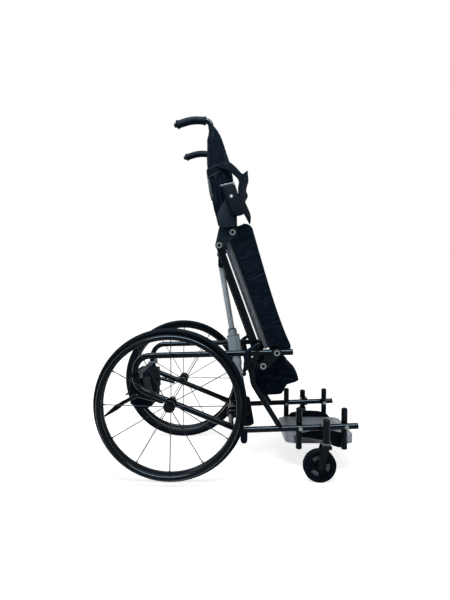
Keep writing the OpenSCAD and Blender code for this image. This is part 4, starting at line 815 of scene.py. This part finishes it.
class CHAIR_OT_back_cover(bpy.types.Operator):
    """Padded back cover with its sleeves, folds and the band that holds the chest belts"""
    bl_idname = "chair.back_cover"
    bl_label = "Back cover"

    def execute(self, context):
        size, look = sizes(), all_finishes()
        low, high, half = size.back_low, size.back_top, size.back_half
        z = np.concatenate([np.linspace(low, high - 0.05, 60), np.linspace(high - 0.046, high, 20)])
        s = back_section(z, half, 0.003)
        rows = back.out(s[..., 0], s[..., 1], z[:, None])
        cover = piece("back_cover", [shell(rows)], look["cover"], "backrest", ["back_upholstery"])
        swell(cover, size.voxel, size.swell * 0.8)
        points, normal = points_of(cover.data), normals_of(cover.data)
        x, y, z = back.into(points)
        share = y / half
        face = smooth(0.02, 0.034, x)
        seams = np.abs(np.cos(2.5 * np.pi * share)) ** 40 * smooth(1, 0.86, np.abs(share))
        quilt = -0.0032 * face * seams - 0.0012 * face * np.abs(np.cos(2.5 * np.pi * share)) ** 4
        sleeve = smooth(0.86, 0.95, np.abs(share))
        wave = np.sin(x / 0.0042 + 3 * np.sin(7 * z)) + 0.7 * np.sin(x / 0.0075 - z / 0.06)
        # The folds fade to the top and behind the hand control's clip
        folds = 0.0028 * sleeve * wave * smooth(high, high - 0.06, z) * (1 - 0.9 * bump(z - 0.16, 0.018))
        pinch = -0.0022 * sleeve * bump(z - BAND_AT, 0.021)
        points = points + normal * (quilt + folds + pinch)[:, None]
        x, y, z = back.into(points)
        # The sleeves keep the depths of the tables at every height
        step, count, outer = 0.008, 45, np.abs(y) > 0.17
        level = np.clip(((z - low) / step).astype(int), 0, count - 1)
        at = low + step * (np.arange(count) + 0.5)
        for way, table in ((1, BACK_FRONT), (-1, BACK_REAR)):
            reach = np.full(count, 1e-4)
            np.maximum.at(reach, level[outer], way * x[outer])
            known = reach > 0.004
            grow = np.clip(np.interp(z, *table.T) / np.interp(z, at[known], reach[known]), 0.7, 1.7)
            x = np.where(way * x > 0, x * (1 + (grow - 1) * smooth(0.155, 0.175, np.abs(y))), x)
        # Clear of the bar behind the middle, and inside the drawn width
        x = np.where(np.abs(y) < 0.165, np.maximum(x, 0.0087), x)
        put_points(cover.data, back.out(x, np.clip(y, -half, half), np.clip(z, low, high)))
        # Bands sewn round the sleeves
        skins, hems = [], []
        for sign in SIGNS:
            line = back_section(np.array([BAND_AT]), half, -0.0012)[0]
            line = line[(line[:, 1] * sign > 0.81 * half) & (line[:, 0] < 0.05)]
            # In order round the cane, from the front
            turn = np.arctan2(line[:, 0] - 0.004, line[:, 1] * sign - CANE_OUT) % (2 * np.pi)
            line = even(line[np.argsort(turn + (turn < 2.2) * 2 * np.pi)], 60)
            path = back.out(line[:, 0], line[:, 1], BAND_AT + 0.22 * line[:, 0])
            skins.append(skin(path, flat_bar(0.0026, 0.034, 0.001), back.along))
            rear = path[line[:, 0] < 0.008]
            hems += [cord(rear + up * back.along, 0.0021, 8, back.along) for up in (-0.016, 0.016)]
        piece("belt_bands", skins, look["belt"], "backrest")
        piece("belt_hems", hems, look["webbing"], "backrest")
        # Pointed plates over the cane feet
        outline = flowing(np.array(CANE_PLATE) / 1000, 96, True)
        skins = [shell(plate(outline, 0.2186, 0.2203, 0.0006, back) * [1, sign, 1]) for sign in SIGNS]
        piece("cane_plates", skins, look["plate"], "backrest")
        return {"FINISHED"}


# Outer and inner edge of the right chest belt, in millimetres to the front and along the back
BELT_EDGES = [(-2, 233, -2, 226), (15, 238, 13, 221), (37, 241, 30, 213), (52, 241, 44, 204), (71, 222, 55, 195),
              (85, 202, 63, 186), (96, 188, 68, 180), (107, 190, 72, 175), (118, 198, 75, 169), (117, 181, 77, 163),
              (117, 168, 77, 157), (115, 153, 75, 149), (108, 138, 71, 137), (102, 120, 69, 120), (105, 98, 68, 98),
              (93, 78, 69, 78), (96, 63, 70, 62), (101, 45, 75, 43), (105, 26, 82, 25), (105, 12, 87, 11),
              (102, -3, 92, -3), (98, -12, 95, -11)]


class CHAIR_OT_chest_belts(bpy.types.Operator):
    """Padded chest belts, folded down in front of the sleeves"""
    bl_idname = "chair.chest_belts"
    bl_label = "Chest belts"

    def execute(self, context):
        size, look = sizes(), all_finishes()
        skins = []
        thick = size.belt_thick
        a = around(40)[None]
        u, v = squared(np.cos(a), 0.45), squared(np.sin(a), 0.6)
        # The left belt ends higher
        for sign, rows in ((SIDES["right"], len(BELT_EDGES)), (SIDES["left"], 13)):
            edges = flowing(np.array(BELT_EDGES[:rows]) / 1000, 160)
            outer, inner = edges[:, None, :2], edges[:, None, 2:]
            p = (outer + inner) / 2 + u[..., None] * (outer - inner) / 2
            s = np.linspace(0, 1, 160)[:, None]
            fold = 0.0006 * np.sin(s * 70 + 3 * u) + 0.0005 * np.sin(u * 9 + s * 12)
            stitch = 0.0007 * bump(np.abs(u) - 0.8, 0.06)
            y = size.back_half + 0.0012 + thick / 2 * (1 + v) + (fold - stitch) * (v > 0)
            skins.append(shell(back.out(p[..., 0], sign * y, p[..., 1])))
        belts = piece("chest_belt_pads", skins, look["belt"], "backrest", ["chest_belts"])
        return {"FINISHED"}


# Outline of the calf pad in millimetres, seen from the side
PAD_OUTLINE = [(103, 374), (104, 397), (124, 437), (148, 456), (172, 463), (205, 464), (229, 459), (239, 434),
               (247, 423), (264, 417), (278, 393), (292, 363), (266, 353), (244, 344), (232, 326), (225, 305),
               (202, 299), (181, 296), (153, 294), (126, 324)]

# The fold over each end of the calf pad: distances to the front and heights
FOLD = np.array([[0.11, 0.128, 0.146, 0.169, 0.191, 0.214, 0.25],
                 [0.366, 0.374, 0.384, 0.386, 0.378, 0.375, 0.371]])


class CHAIR_OT_calf_pad(bpy.types.Operator):
    """Stuffed calf pad on the leg cross tube"""
    bl_idname = "chair.calf_pad"
    bl_label = "Calf pad"

    def execute(self, context):
        size, look = sizes(), all_finishes()
        low, high = [np.array(k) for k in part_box("calf_pad")]
        span, mid = high - low, (low + high) / 2
        outline = flowing(np.array(PAD_OUTLINE) / 1000, 110, True)
        s = np.sin(np.linspace(-np.pi / 2, np.pi / 2, 48))
        shrink = (1.04 - 0.09 * np.abs(s) ** 16)[:, None, None]
        q = mid[::2] + (outline - mid[::2]) * shrink
        # The ends lean in below their fold
        under = np.clip((0.38 - q[..., 1]) / 0.08, 0, 1)
        y = (size.pad_half - 0.002 - 0.028 * under) * s[:, None]
        rows = np.stack([q[..., 0], y, q[..., 1]], -1)
        pad = piece("calf_pad_cover", [shell(rows)], look["pad"], "frame", ["calf_pad"])
        swell(pad, size.voxel, size.swell)
        points, normal = points_of(pad.data), normals_of(pad.data)
        x, z = (points[:, 0] - low[0]) / span[0], (points[:, 2] - low[2]) / span[2]
        edge = np.abs(points[:, 1])
        off_seam = edge - 0.122
        ends = smooth(0.118, 0.135, edge)
        above = points[:, 2] - np.interp(points[:, 0], *FOLD)
        fold = bump(above, 0.005) - 0.8 * bump(above - 0.011, 0.006)
        creases = np.sin(x * 31 + 6 * z) * bump(off_seam, 0.012)
        move = 0.006 * fold * ends - 0.0014 * bump(off_seam, 0.0035) - 0.0006 * creases
        put_points(pad.data, np.clip(points + normal * move[:, None], low - 0.002, high + 0.002))
        # A cord along the fold of each end, in the lighter back cover cloth: a real ridge with a painted highlight on
        # it
        x = np.linspace(0.116, 0.262, 60)
        z = np.interp(x, *FOLD) + 0.001
        out = size.pad_half + 0.002
        skins = [cord(upright.out(x, sign * out, z), 0.0042, 12) for sign in SIGNS]
        piece("calf_pad_welts", skins, look["cover"], "frame")
        return {"FINISHED"}


# Outline of the bag from the side: shares of its depth from the middle, and of its height
BAG_SHARES = [[-0.36, 0.9], [-0.31, 0.97], [-0.24, 1], [0, 1], [0.24, 1], [0.31, 0.97], [0.36, 0.9], [0.4, 0.72],
              [0.43, 0.5], [0.43, 0.27], [0.34, 0.09], [0.17, 0.01], [0, 0], [-0.17, 0.01], [-0.34, 0.09],
              [-0.43, 0.27], [-0.43, 0.5], [-0.4, 0.72]]


def bag_width(share):
    """Share of the bag's width that is left at a share of its height."""
    return 0.69 + 0.3 * smooth(0.1, 0.95, share)


class CHAIR_OT_battery_bag(bpy.types.Operator):
    """Sagging battery bag, its webbing band with slides, and the loops on the frame"""
    bl_idname = "chair.battery_bag"
    bl_label = "Battery bag"

    def execute(self, context):
        size, look = sizes(), all_finishes()
        low, high = [np.array(k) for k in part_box("battery_bag")]
        span, mid = high - low, (low + high) / 2
        outline = flowing(BAG_SHARES, 96, True)
        s = np.sin(np.linspace(-np.pi / 2, np.pi / 2, 56))
        close = (1 - 0.33 * np.abs(s) ** 4)[:, None]
        x = mid[0] + span[0] * 0.97 * outline[None, :, 0] * close
        up = 0.5 + (outline[None, :, 1] - 0.5) * (0.975 - 0.13 * np.abs(s)[:, None] ** 9)
        y = s[:, None] * span[1] / 2 * bag_width(outline[None, :, 1])
        rows = np.stack([x, y, low[2] + span[2] * up], -1)
        bag = piece("battery_bag_cover", [shell(rows)], look["bag"], "frame", ["battery_bag"])
        swell(bag, size.voxel * 1.1, size.swell * 0.8)
        points, normal = points_of(bag.data), normals_of(bag.data)
        z = (points[:, 2] - low[2]) / span[2]
        side = smooth(0.05, 0.09, np.abs(points[:, 1]))
        folds = np.sin(points[:, 0] / 0.0062 + 3 * np.sin(5 * z)) * bump(z - 0.62, 0.25)
        sag = np.sin(points[:, 1] / 0.013 + 2 * z) * bump(z - 0.75, 0.12) * smooth(0.8, 0.95, np.abs(normal[:, 0]))
        zip_line = bump(z - 0.9, 0.012) * smooth(0.5, 0.8, np.abs(normal[:, 0]) + np.abs(normal[:, 1]))
        move = 0.0016 * side * folds + 0.0009 * sag - 0.0022 * zip_line
        put_points(bag.data, np.clip(points + normal * move[:, None], low - 0.001, high))
        # Band over the bag, loops round the frame, slides on the band
        top, thick = high[2], size.strap_thick
        loop_x, loop_y = mid[0], 0.208
        y = np.linspace(-0.1945, 0.1945, 80)
        band = upright.out(loop_x, y, top + thick / 2 + 0.0002 + 0.0006 * np.cos(y / 0.03))
        skins = [skin(band, flat_bar(thick - 0.0006, 0.024, 0.001), upright.front)]
        # A strip from the band down each end
        share = np.linspace(0.93, 0.42, 40)
        for sign in SIGNS:
            y = span[1] / 2 * bag_width(share) + 0.0035 + 0.006 * smooth(0.5, 0.75, share)
            path = upright.out(mid[0] + 0.03 + 0.022 * (0.93 - share), sign * y, low[2] + span[2] * share)
            skins.append(skin(path, flat_bar(0.004, 0.03, 0.0012), upright.front))
        piece("bag_band", skins, look["webbing"], "frame", ["bag_straps"])
        r_in, r_out, z0, z1, e = 0.0124, 0.0153, top + 0.002, top + 0.019, 0.001
        hem = [(r_in, z0 + e), (r_in + e, z0), (r_out - e, z0), (r_out, z0 + e), (r_out, z1 - e), (r_out - e, z1),
               (r_in + e, z1), (r_in, z1 - e)]
        skins = [hoop(hem, (loop_x, sign * loop_y, 0), UP, 40) for sign in SIGNS]
        piece("bag_loops", skins, look["belt"], "frame")
        # Pale end plates that face outwards
        tab = flat_bar(0.017, 0.023, 0.004, 6) + [loop_x + 0.0175, top + 0.0055]
        skins = [shell(plate(tab, 0.1883, 0.1925, 0.0012, upright) * [1, sign, 1]) for sign in SIGNS]
        piece("bag_end_plates", skins, look["pale"], "frame")
        # Slides: a rounded loop of wire with a bar across it
        slide, wire = evened(flat_bar(0.032, 0.018, 0.004), 64), 0.0017
        skins = []
        for y in (-0.165, 0.165):
            path = upright.out(loop_x + slide[:, 0], y + slide[:, 1], top + thick + 0.0006)
            bar = upright.out(loop_x + np.linspace(-0.015, 0.015, 6), y, top + thick + 0.001)
            skins += [cord(path, wire, 10, UP, True), cord(bar, wire, 10)]
        piece("bag_slides", skins, look["pale"], "frame")
        return {"FINISHED"}


# Line of a push grip in side view
HANDLE = [(-0.0996, 1.4090), (-0.1528, 1.4132), (-0.2278, 1.3889)]


class CHAIR_OT_push_grips(bpy.types.Operator):
    """Arched rubber push grips with flared ends"""
    bl_idname = "chair.push_grips"
    bl_label = "Push grips"

    def execute(self, context):
        look = all_finishes()
        line = bent(HANDLE, 0.15, 90)
        last = travel(line)[-1]
        s = np.linspace(0, last, 90)
        flares = 0.0026 * bump(s - 0.005, 0.0045) + 0.0028 * bump(s - last + 0.016, 0.005)
        radius = 0.0147 + 0.0006 * np.sin(np.pi * s / last) + flares
        # A small knob past the rear flare
        radius = radius + (0.0092 - radius) * smooth(last - 0.0125, last - 0.0095, s)
        radius *= np.sqrt(np.clip(1 - np.clip((s - last + 0.005) / 0.0052, 0, 1) ** 2, 0.02, 1))
        radius *= np.sqrt(np.clip(1 - np.clip((0.0016 - s) / 0.0025, 0, 1) ** 2, 0.02, 1))
        skins = [cord(upright.out(line[:, 0], sign * CANE_OUT, line[:, 1]), radius, 32) for sign in SIGNS]
        piece("grip_sleeves", skins, look["rubber"], "backrest", ["push_grips"])
        return {"FINISHED"}


class CHAIR_OT_bolt_plugs(bpy.types.Operator):
    """Black plugs in the ring heads of the pivot bolts, and caps over the cane bolts"""
    bl_idname = "chair.bolt_plugs"
    bl_label = "Bolt plugs"

    def execute(self, context):
        look = all_finishes()
        dome = [(0.0066, -0.0003), (0.0066, 0.0008), (0.0059, 0.0014), (0.004, 0.0016), (0.0035, 0.0016),
                (0.003, 0.0008), (0.0005, 0.0008)]
        link_head = LINK_FOOT + HIP - KNEE
        for name, body, out, places in (("frame_plugs", "frame", 0.2298, (KNEE, LINK_FOOT)),
                                        ("back_plugs", "backrest", 0.195, (HIP, link_head))):
            skins = [knob(dome, (p[0], sign * out, p[2]), (0, sign, 0), 24) for p in places for sign in SIGNS]
            piece(name, skins, look["plastic"], body)
        cap = [(0.0079, -0.0004), (0.0079, 0.0036), (0.0071, 0.005), (0.0052, 0.0058), (0.0004, 0.006)]
        skins = [knob(cap, back.out(0, sign * 0.2136, at), (0, sign, 0), 24)
                 for at in (0.017, 0.042) for sign in SIGNS]
        piece("cane_bolt_caps", skins, look["plastic"], "backrest")
        return {"FINISHED"}


class CHAIR_OT_rear_tyres(bpy.types.Operator):
    """Rear tyres with tread grooves, and the spoke nipples on the rims"""
    bl_idname = "chair.rear_tyres"
    bl_label = "Rear tyres"

    def execute(self, context):
        size, look = sizes(), all_finishes()
        a = around(480)[:, None]
        b = np.linspace(-np.pi, np.pi, 40, endpoint=False)[None]
        grooves = bump(np.abs(b) - 0.28, 0.06) + 0.8 * bump(np.abs(b) - 0.72, 0.06)
        shoulder = smooth(0.3, 0.4, np.abs(b)) * smooth(1.0, 0.75, np.abs(b))
        blocks = smooth(0.55, 0.9, np.sin(96 * a + 9 * np.abs(b))) * shoulder
        wall = 0.5 * bump(np.abs(b) - 1.35, 0.05)
        tube, circle = 0.0125, 0.2825
        r = tube - size.tread * (grooves + blocks + wall)
        wide, out = r * np.sin(b), circle + r * np.cos(b)
        nipple = [(0.0014, 0.2485), (0.0024, 0.2492), (0.0028, 0.2535), (0.0028, 0.2575)]
        for name in SIDES:
            hub = joint_place[f"{name}_wheel_spin"]
            rows = hub + np.stack([out * np.cos(a), wide + 0 * a, out * np.sin(a)], -1)
            piece(f"{name}_tyre_tread", [shell(rows, True)], look["tyre"], f"{name}_wheel",
                  [f"{name}_tyre"])
            skins = [knob(nipple, hub, (math.cos(k), 0, math.sin(k)), 12) for k in np.radians(np.arange(0, 360, 30))]
            piece(f"{name}_nipples", skins, look["spoke"], f"{name}_wheel")
        return {"FINISHED"}


class CHAIR_OT_actuator_fittings(bpy.types.Operator):
    """Wiper seal, gaskets and joint lines of the actuator"""
    bl_idname = "chair.actuator_fittings"
    bl_label = "Actuator fittings"

    def execute(self, context):
        look = all_finishes()
        lip = [(0.0128, 0.366), (0.0128, 0.3715), (0.0138, 0.3725), (0.0155, 0.3715), (0.0165, 0.369), (0.0165, 0.366)]
        skins = [hoop(lip, drive.origin, drive.along, 36)]
        edge = evened(flat_bar(0.0562, 0.0482, 0.006, 8), 96)
        for at in (0.2582, 0.3408):
            path = drive.out(edge[:, 0], edge[:, 1], at)
            skins.append(skin(path, flat_bar(0.0012, 0.0016, 0.0003, 3), drive.along, True))
        run = np.linspace(0.2585, 0.3405, 12)
        for sign in SIGNS:
            skins.append(skin(drive.out(0.011, sign * 0.0241, run), flat_bar(0.0016, 0.0009, 0.0003, 3)))
        piece("actuator_seals", skins, look["rubber"], "actuator_body")
        return {"FINISHED"}


class CHAIR_OT_hand_control(bpy.types.Operator):
    """Rounded hand control with a bezel round its button, and the control box behind the back"""
    bl_idname = "chair.hand_control"
    bl_label = "Hand control"

    def execute(self, context):
        look = all_finishes()
        # Each corner is cut at a tenth of its sides, then rounded
        corners = np.array([(37, 25), (79, 28), (61, 149), (4, 146)]) / 1000
        mid = corners.mean(0)
        ends = np.stack([corners + 0.1 * (np.roll(corners, k, 0) - corners) for k in (1, -1)], 1).reshape(-1, 2)
        outline = flowing(mid + (ends - mid) * 0.985, 96, True)
        body = plate(outline, -0.2448, -0.2209, 0.0045, back, 7)
        piece("hand_control_body", [shell(body)], look["tyre"], "backrest", ["hand_control"])
        skins = [cord(back.out(np.linspace(a, c, 30), -0.2447, np.linspace(b, d, 30)), 0.0022, 10)
                 for a, b, c, d in ((0.037, 0.086, 0.046, 0.036), (0.053, 0.112, 0.069, 0.05))]
        piece("control_ridges", skins, look["rubber"], "backrest")
        bezel = [(0.0058, -0.001), (0.0058, 0.0006), (0.0066, 0.0009), (0.0078, 0.0006), (0.0085, -0.001)]
        skins = [hoop(bezel, back.out(0.04, -0.2448, 0.103), -ACROSS, 28)]
        piece("button_bezel", skins, look["pale"], "backrest")
        # Box: a rounded rectangle is drawn in near both faces, with a groove round its middle
        e = 0.007
        a = np.linspace(0, np.pi / 2, 6)
        inset = np.concatenate([e * (1 - np.sin(a)), [0, 0.0009, 0.0009, 0], e * (1 - np.sin(a[::-1]))])
        deep = np.concatenate([-0.044 + e * (1 - np.cos(a)), [-0.0232, -0.0226, -0.0214, -0.0208],
                               -0.008 - e * (1 - np.cos(a[::-1]))])
        face = flat_bar(0.12, 0.1, 0.012, 8)
        q = face[None] * (1 - inset[:, None, None] / np.array([0.06, 0.05]))
        rows = back.out(deep[:, None], q[..., 0], 0.226 + q[..., 1])
        piece("control_box_case", [shell(rows)], look["pale"], "backrest", ["control_box"])
        gland = [(0.0055, 0.0), (0.0055, 0.005), (0.004, 0.0065), (0.004, 0.012), (0.0032, 0.0125)]
        skins = [knob(gland, back.out(-0.026, y, 0.177), -back.along, 20) for y in (-0.03, 0.03)]
        piece("control_box_glands", skins, look["plastic"], "backrest")
        return {"FINISHED"}


class CHAIR_OT_caster_fittings(bpy.types.Operator):
    """Collars, seal rings, discs with panes and axle nuts of the casters"""
    bl_idname = "chair.caster_fittings"
    bl_label = "Caster fittings"

    def execute(self, context):
        look = all_finishes()
        # Profiles as radius and height, on the stem and on the axle
        cup = [(0.0165, 0.1420), (0.0174, 0.1425), (0.0177, 0.1445), (0.0177, 0.1505), (0.0172, 0.1512),
               (0.0165, 0.1512)]
        seal = [(0.0165, 0.1514), (0.0176, 0.1517), (0.0178, 0.1527), (0.0176, 0.1537), (0.0165, 0.154)]
        disc = [(0.0152, -0.0066), (0.0438, -0.0066), (0.0442, -0.006), (0.0442, 0.006), (0.0438, 0.0066),
                (0.0152, 0.0066)]
        nut = [(0.0058, -0.003), (0.0058, 0.0006), (0.0052, 0.0012), (0.0042, 0.0013), (0.0038, 0.0026),
               (0.0005, 0.0029)]
        # Outline of a pane as radius and angle: its outer arc and its inner arc
        t = np.linspace(-1, 1, 24)
        far, turn = np.concatenate([0.0395 + 0 * t, 0.0245 + 0 * t]), np.concatenate([0.44 * t, -0.4 * t])
        for name in SIDES:
            stem, axle = joint_place[f"{name}_caster_swivel"] * [1, 1, 0], joint_place[f"{name}_caster_spin"]
            fork, wheel = f"{name}_fork", f"{name}_caster"
            piece(f"{name}_stem_collar", [hoop(cup, stem, UP, 40)], look["rail"], fork)
            piece(f"{name}_stem_seal", [hoop(seal, stem, UP, 40)], look["seal"], fork)
            # A disc over the core's openings, and panes on both of its faces
            piece(f"{name}_caster_disc", [hoop(disc, axle, ACROSS, 64)], look["plastic"], wheel)
            skins = []
            for start in np.radians([-8, 118, 237]):
                p = np.stack([far * np.cos(turn + start), far * np.sin(turn + start)], 1)
                p = flowing(p[::3], 96, True) + [axle[0], axle[2]]
                for y in (axle[1] - 0.0067, axle[1] + 0.0067):
                    skins.append(shell(plate(p, y - 0.0006, y + 0.0006, 0.0004, upright)))
            piece(f"{name}_caster_panes", skins, look["pane"], wheel)
            low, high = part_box(f"{name}_caster_fork")
            skins = [knob(nut, (axle[0], y, axle[2]), (0, way, 0), 6) for y, way in ((low[1], -1), (high[1], 1))]
            piece(f"{name}_axle_nuts", skins, look["spoke"], fork, sharp=25)
        return {"FINISHED"}


# Line of a tipping lever in side view
TIP_LINE = [(-0.2625, 0.285), (-0.3705, 0.312), (-0.4285, 0.280), (-0.5045, 0.2236)]
# Distances before its tip, and its radius there
TIP_RADII = np.array([[0, 0.003, 0.012, 0.04, 0.062, 0.074, 0.086, 0.1],
                      [0.0012, 0.0032, 0.0048, 0.0085, 0.011, 0.0108, 0.0088, 0.008]])
# Slope of the frame's diagonal run, and a point of the line on which the levers' lugs lie
SLOPE, LUG_LINE = math.tan(math.radians(21.8)), (-0.2265, 0.2714)


class CHAIR_OT_tip_levers(bpy.types.Operator):
    """Tipping levers with a paddle that tapers to its tip, and their lugs on the frame"""
    bl_idname = "chair.tip_levers"
    bl_label = "Tipping levers"

    def execute(self, context):
        look = all_finishes()
        line = bent(TIP_LINE, 0.03, 150)
        s = travel(line)
        radius = np.interp(s[-1] - s, *TIP_RADII)
        # The left lever runs close under its tube
        near_tube = 0.0055 * smooth(-0.43, -0.36, line[:, 0])
        lug = [(0.0068, 0), (0.007, 0.001), (0.007, 0.0205), (0.0066, 0.0215)]
        skins = []
        for sign in SIGNS:
            height = line[:, 1] + (sign > 0) * near_tube
            skins.append(cord(upright.out(line[:, 0], sign * LEVER_OUT, height), radius, 24))
            for x in (-0.048, -0.084):
                place = (LUG_LINE[0] + x, sign * LEVER_OUT, LUG_LINE[1] - x * SLOPE)
                skins.append(knob(lug, place, (0, sign, 0), 24))
        piece("tip_lever_paddles", skins, look["paint"], "frame", ["tipping_levers"])
        return {"FINISHED"}


class CHAIR_OT_lock_grips(bpy.types.Operator):
    """Curved rubber grips on the wheel-lock levers"""
    bl_idname = "chair.lock_grips"
    bl_label = "Lock grips"

    def execute(self, context):
        look = all_finishes()
        line = bent([(0, 0), (-0.008, 0.05), (0.046, 0.086)], 0.03, 120)[24:]
        s = np.linspace(0, 1, len(line))
        radius = 0.0074 + 0.0009 * smooth(0, 0.5, s) - 0.003 * bump(s, 0.03) - 0.003 * bump(s - 1, 0.03)
        for name, sign in SIDES.items():
            p = joint_place[f"{name}_wheel_lock"]
            path = upright.out(p[0] + line[:, 0], sign * LOCK_OUT, p[2] + line[:, 1])
            piece(f"{name}_lock_grip", [cord(path, radius, 20)], look["rubber"], f"{name}_lock")
        return {"FINISHED"}


def placed(x, y, z, place):
    """Matrix of a thing from its three axes and its place."""
    return Matrix([[x[k], y[k], z[k], place[k]] for k in range(3)] + [[0, 0, 0, 1]])


class CHAIR_OT_stage(bpy.types.Operator):
    """Camera, floor, lamps and a white room"""
    bl_idname = "chair.stage"
    bl_label = "Studio"

    def execute(self, context):
        size, scene = sizes(), bpy.context.scene
        scene.view_settings.view_transform = "Standard"
        yaw, pitch, roll = size.camera_turn
        ahead = np.array([math.sin(yaw) * math.cos(pitch), math.cos(yaw) * math.cos(pitch), -math.sin(pitch)])
        right = np.array([math.cos(yaw), -math.sin(yaw), 0.0])
        down = np.cross(ahead, right)
        x = math.cos(roll) * right + math.sin(roll) * down
        y = math.sin(roll) * right - math.cos(roll) * down
        lens = bpy.data.cameras.new("Camera")
        lens.lens, lens.sensor_width, lens.clip_end = size.camera_lens, 36.0, 100.0
        camera = bpy.data.objects.new("Camera", lens)
        scene.collection.objects.link(camera)
        camera.matrix_world = placed(x, y, -ahead, size.camera_place)
        scene.camera = camera
        # Floor: one wide square that glows a little to the camera and to mirrors
        mesh = bpy.data.meshes.new("Floor")
        mesh.from_pydata([(-30, -30, 0), (30, -30, 0), (30, 30, 0), (-30, 30, 0)], [], [(0, 1, 2, 3)])
        floor = bpy.data.objects.new("Floor", mesh)
        scene.collection.objects.link(floor)
        made = bpy.data.materials.new("Studio floor")
        made.use_nodes = True
        t = Tree(made.node_tree)
        shader = made.node_tree.nodes["Principled BSDF"]
        tone = t.noise(t.node("ShaderNodeTexCoord").outputs["Object"], 2.0)
        pale = tuple(colours().floor)
        t.tree.links.new(t.mix(tone, pale, [k * 0.98 for k in pale]), shader.inputs["Base Color"])
        shader.inputs["Roughness"].default_value = 0.9
        shader.inputs["Emission Color"].default_value = (1, 1, 1, 1)
        t.tree.links.new(t.times(self.seen(t), 0.68), shader.inputs["Emission Strength"])
        mesh.materials.append(made)
        world = bpy.data.worlds.new("Room")
        scene.world = world
        world.use_nodes = True
        t = Tree(world.node_tree)
        shade = world.node_tree.nodes["Background"]
        shade.inputs["Color"].default_value = (1, 1, 1, 1)
        strength = t.plus(t.times(self.seen(t), 1 - size.room), size.room)
        t.tree.links.new(strength, shade.inputs["Strength"])
        for name, place, aim, wide, power in (("Softbox", (-0.4, -1.0, 3.0), (0, 0, 0.7), (1.6, 0.6), size.softbox),
                                              ("Ceiling", (0, -1.5, 3.0), (0, 0, 0.6), (3.4, 1.1), size.ceiling),
                                              ("Fill", (-1.9, -3.0, 2.1), (0, 0, 0.7), (0.8, 0.8), size.fill)):
            lamp = bpy.data.lights.new(name, "AREA")
            lamp.shape, lamp.size, lamp.size_y, lamp.energy = "RECTANGLE", *wide, power
            box = bpy.data.objects.new(name, lamp)
            scene.collection.objects.link(box)
            # The ceiling shows in gloss alone, as the streak along a tube; no lamp shows to the camera
            box.visible_diffuse = name != "Ceiling"
            box.visible_camera = False
            z = np.array(place) - np.array(aim)
            z /= np.linalg.norm(z)
            x = np.cross(UP, z) / np.linalg.norm(np.cross(UP, z))
            box.matrix_world = placed(x, np.cross(z, x), z, place)
        return {"FINISHED"}

    @staticmethod
    def seen(t):
        """1 for rays from the camera, from mirrors and through glass."""
        rays = t.node("ShaderNodeLightPath").outputs
        direct = t.math("MAXIMUM", rays["Is Camera Ray"], rays["Is Glossy Ray"])
        return t.math("MAXIMUM", direct, rays["Is Transmission Ray"])


OPERATORS = (CHAIR_OT_stage, CHAIR_OT_cad_finishes, CHAIR_OT_seat_cushion, CHAIR_OT_back_cover, CHAIR_OT_chest_belts,
             CHAIR_OT_calf_pad, CHAIR_OT_battery_bag, CHAIR_OT_push_grips, CHAIR_OT_bolt_plugs, CHAIR_OT_rear_tyres,
             CHAIR_OT_actuator_fittings, CHAIR_OT_hand_control, CHAIR_OT_caster_fittings, CHAIR_OT_tip_levers,
             CHAIR_OT_lock_grips)


class CHAIR_PT_sidebar(bpy.types.Panel):
    """Lists the chair's operators, sizes and colours"""
    bl_label = "Standing wheelchair"
    bl_space_type = "VIEW_3D"
    bl_region_type = "UI"
    bl_category = "Wheelchair"

    def draw(self, context):
        for operator in OPERATORS:
            self.layout.operator(operator.bl_idname)
        for values in (context.scene.chair_sizes, context.scene.chair_colours):
            for label in values.__annotations__:
                self.layout.prop(values, label)


CLASSES = (ChairSizes, ChairColours, *OPERATORS, CHAIR_PT_sidebar)


def register():
    for made in CLASSES:
        bpy.utils.register_class(made)
    bpy.types.Scene.chair_sizes = PointerProperty(type=ChairSizes)
    bpy.types.Scene.chair_colours = PointerProperty(type=ChairColours)


def unregister():
    del bpy.types.Scene.chair_sizes, bpy.types.Scene.chair_colours
    for made in reversed(CLASSES):
        bpy.utils.unregister_class(made)


def main():
    register()
    for operator in OPERATORS:
        group_name, name = operator.bl_idname.split(".")
        getattr(getattr(bpy.ops, group_name), name)()


if __name__ == "__main__":
    main()
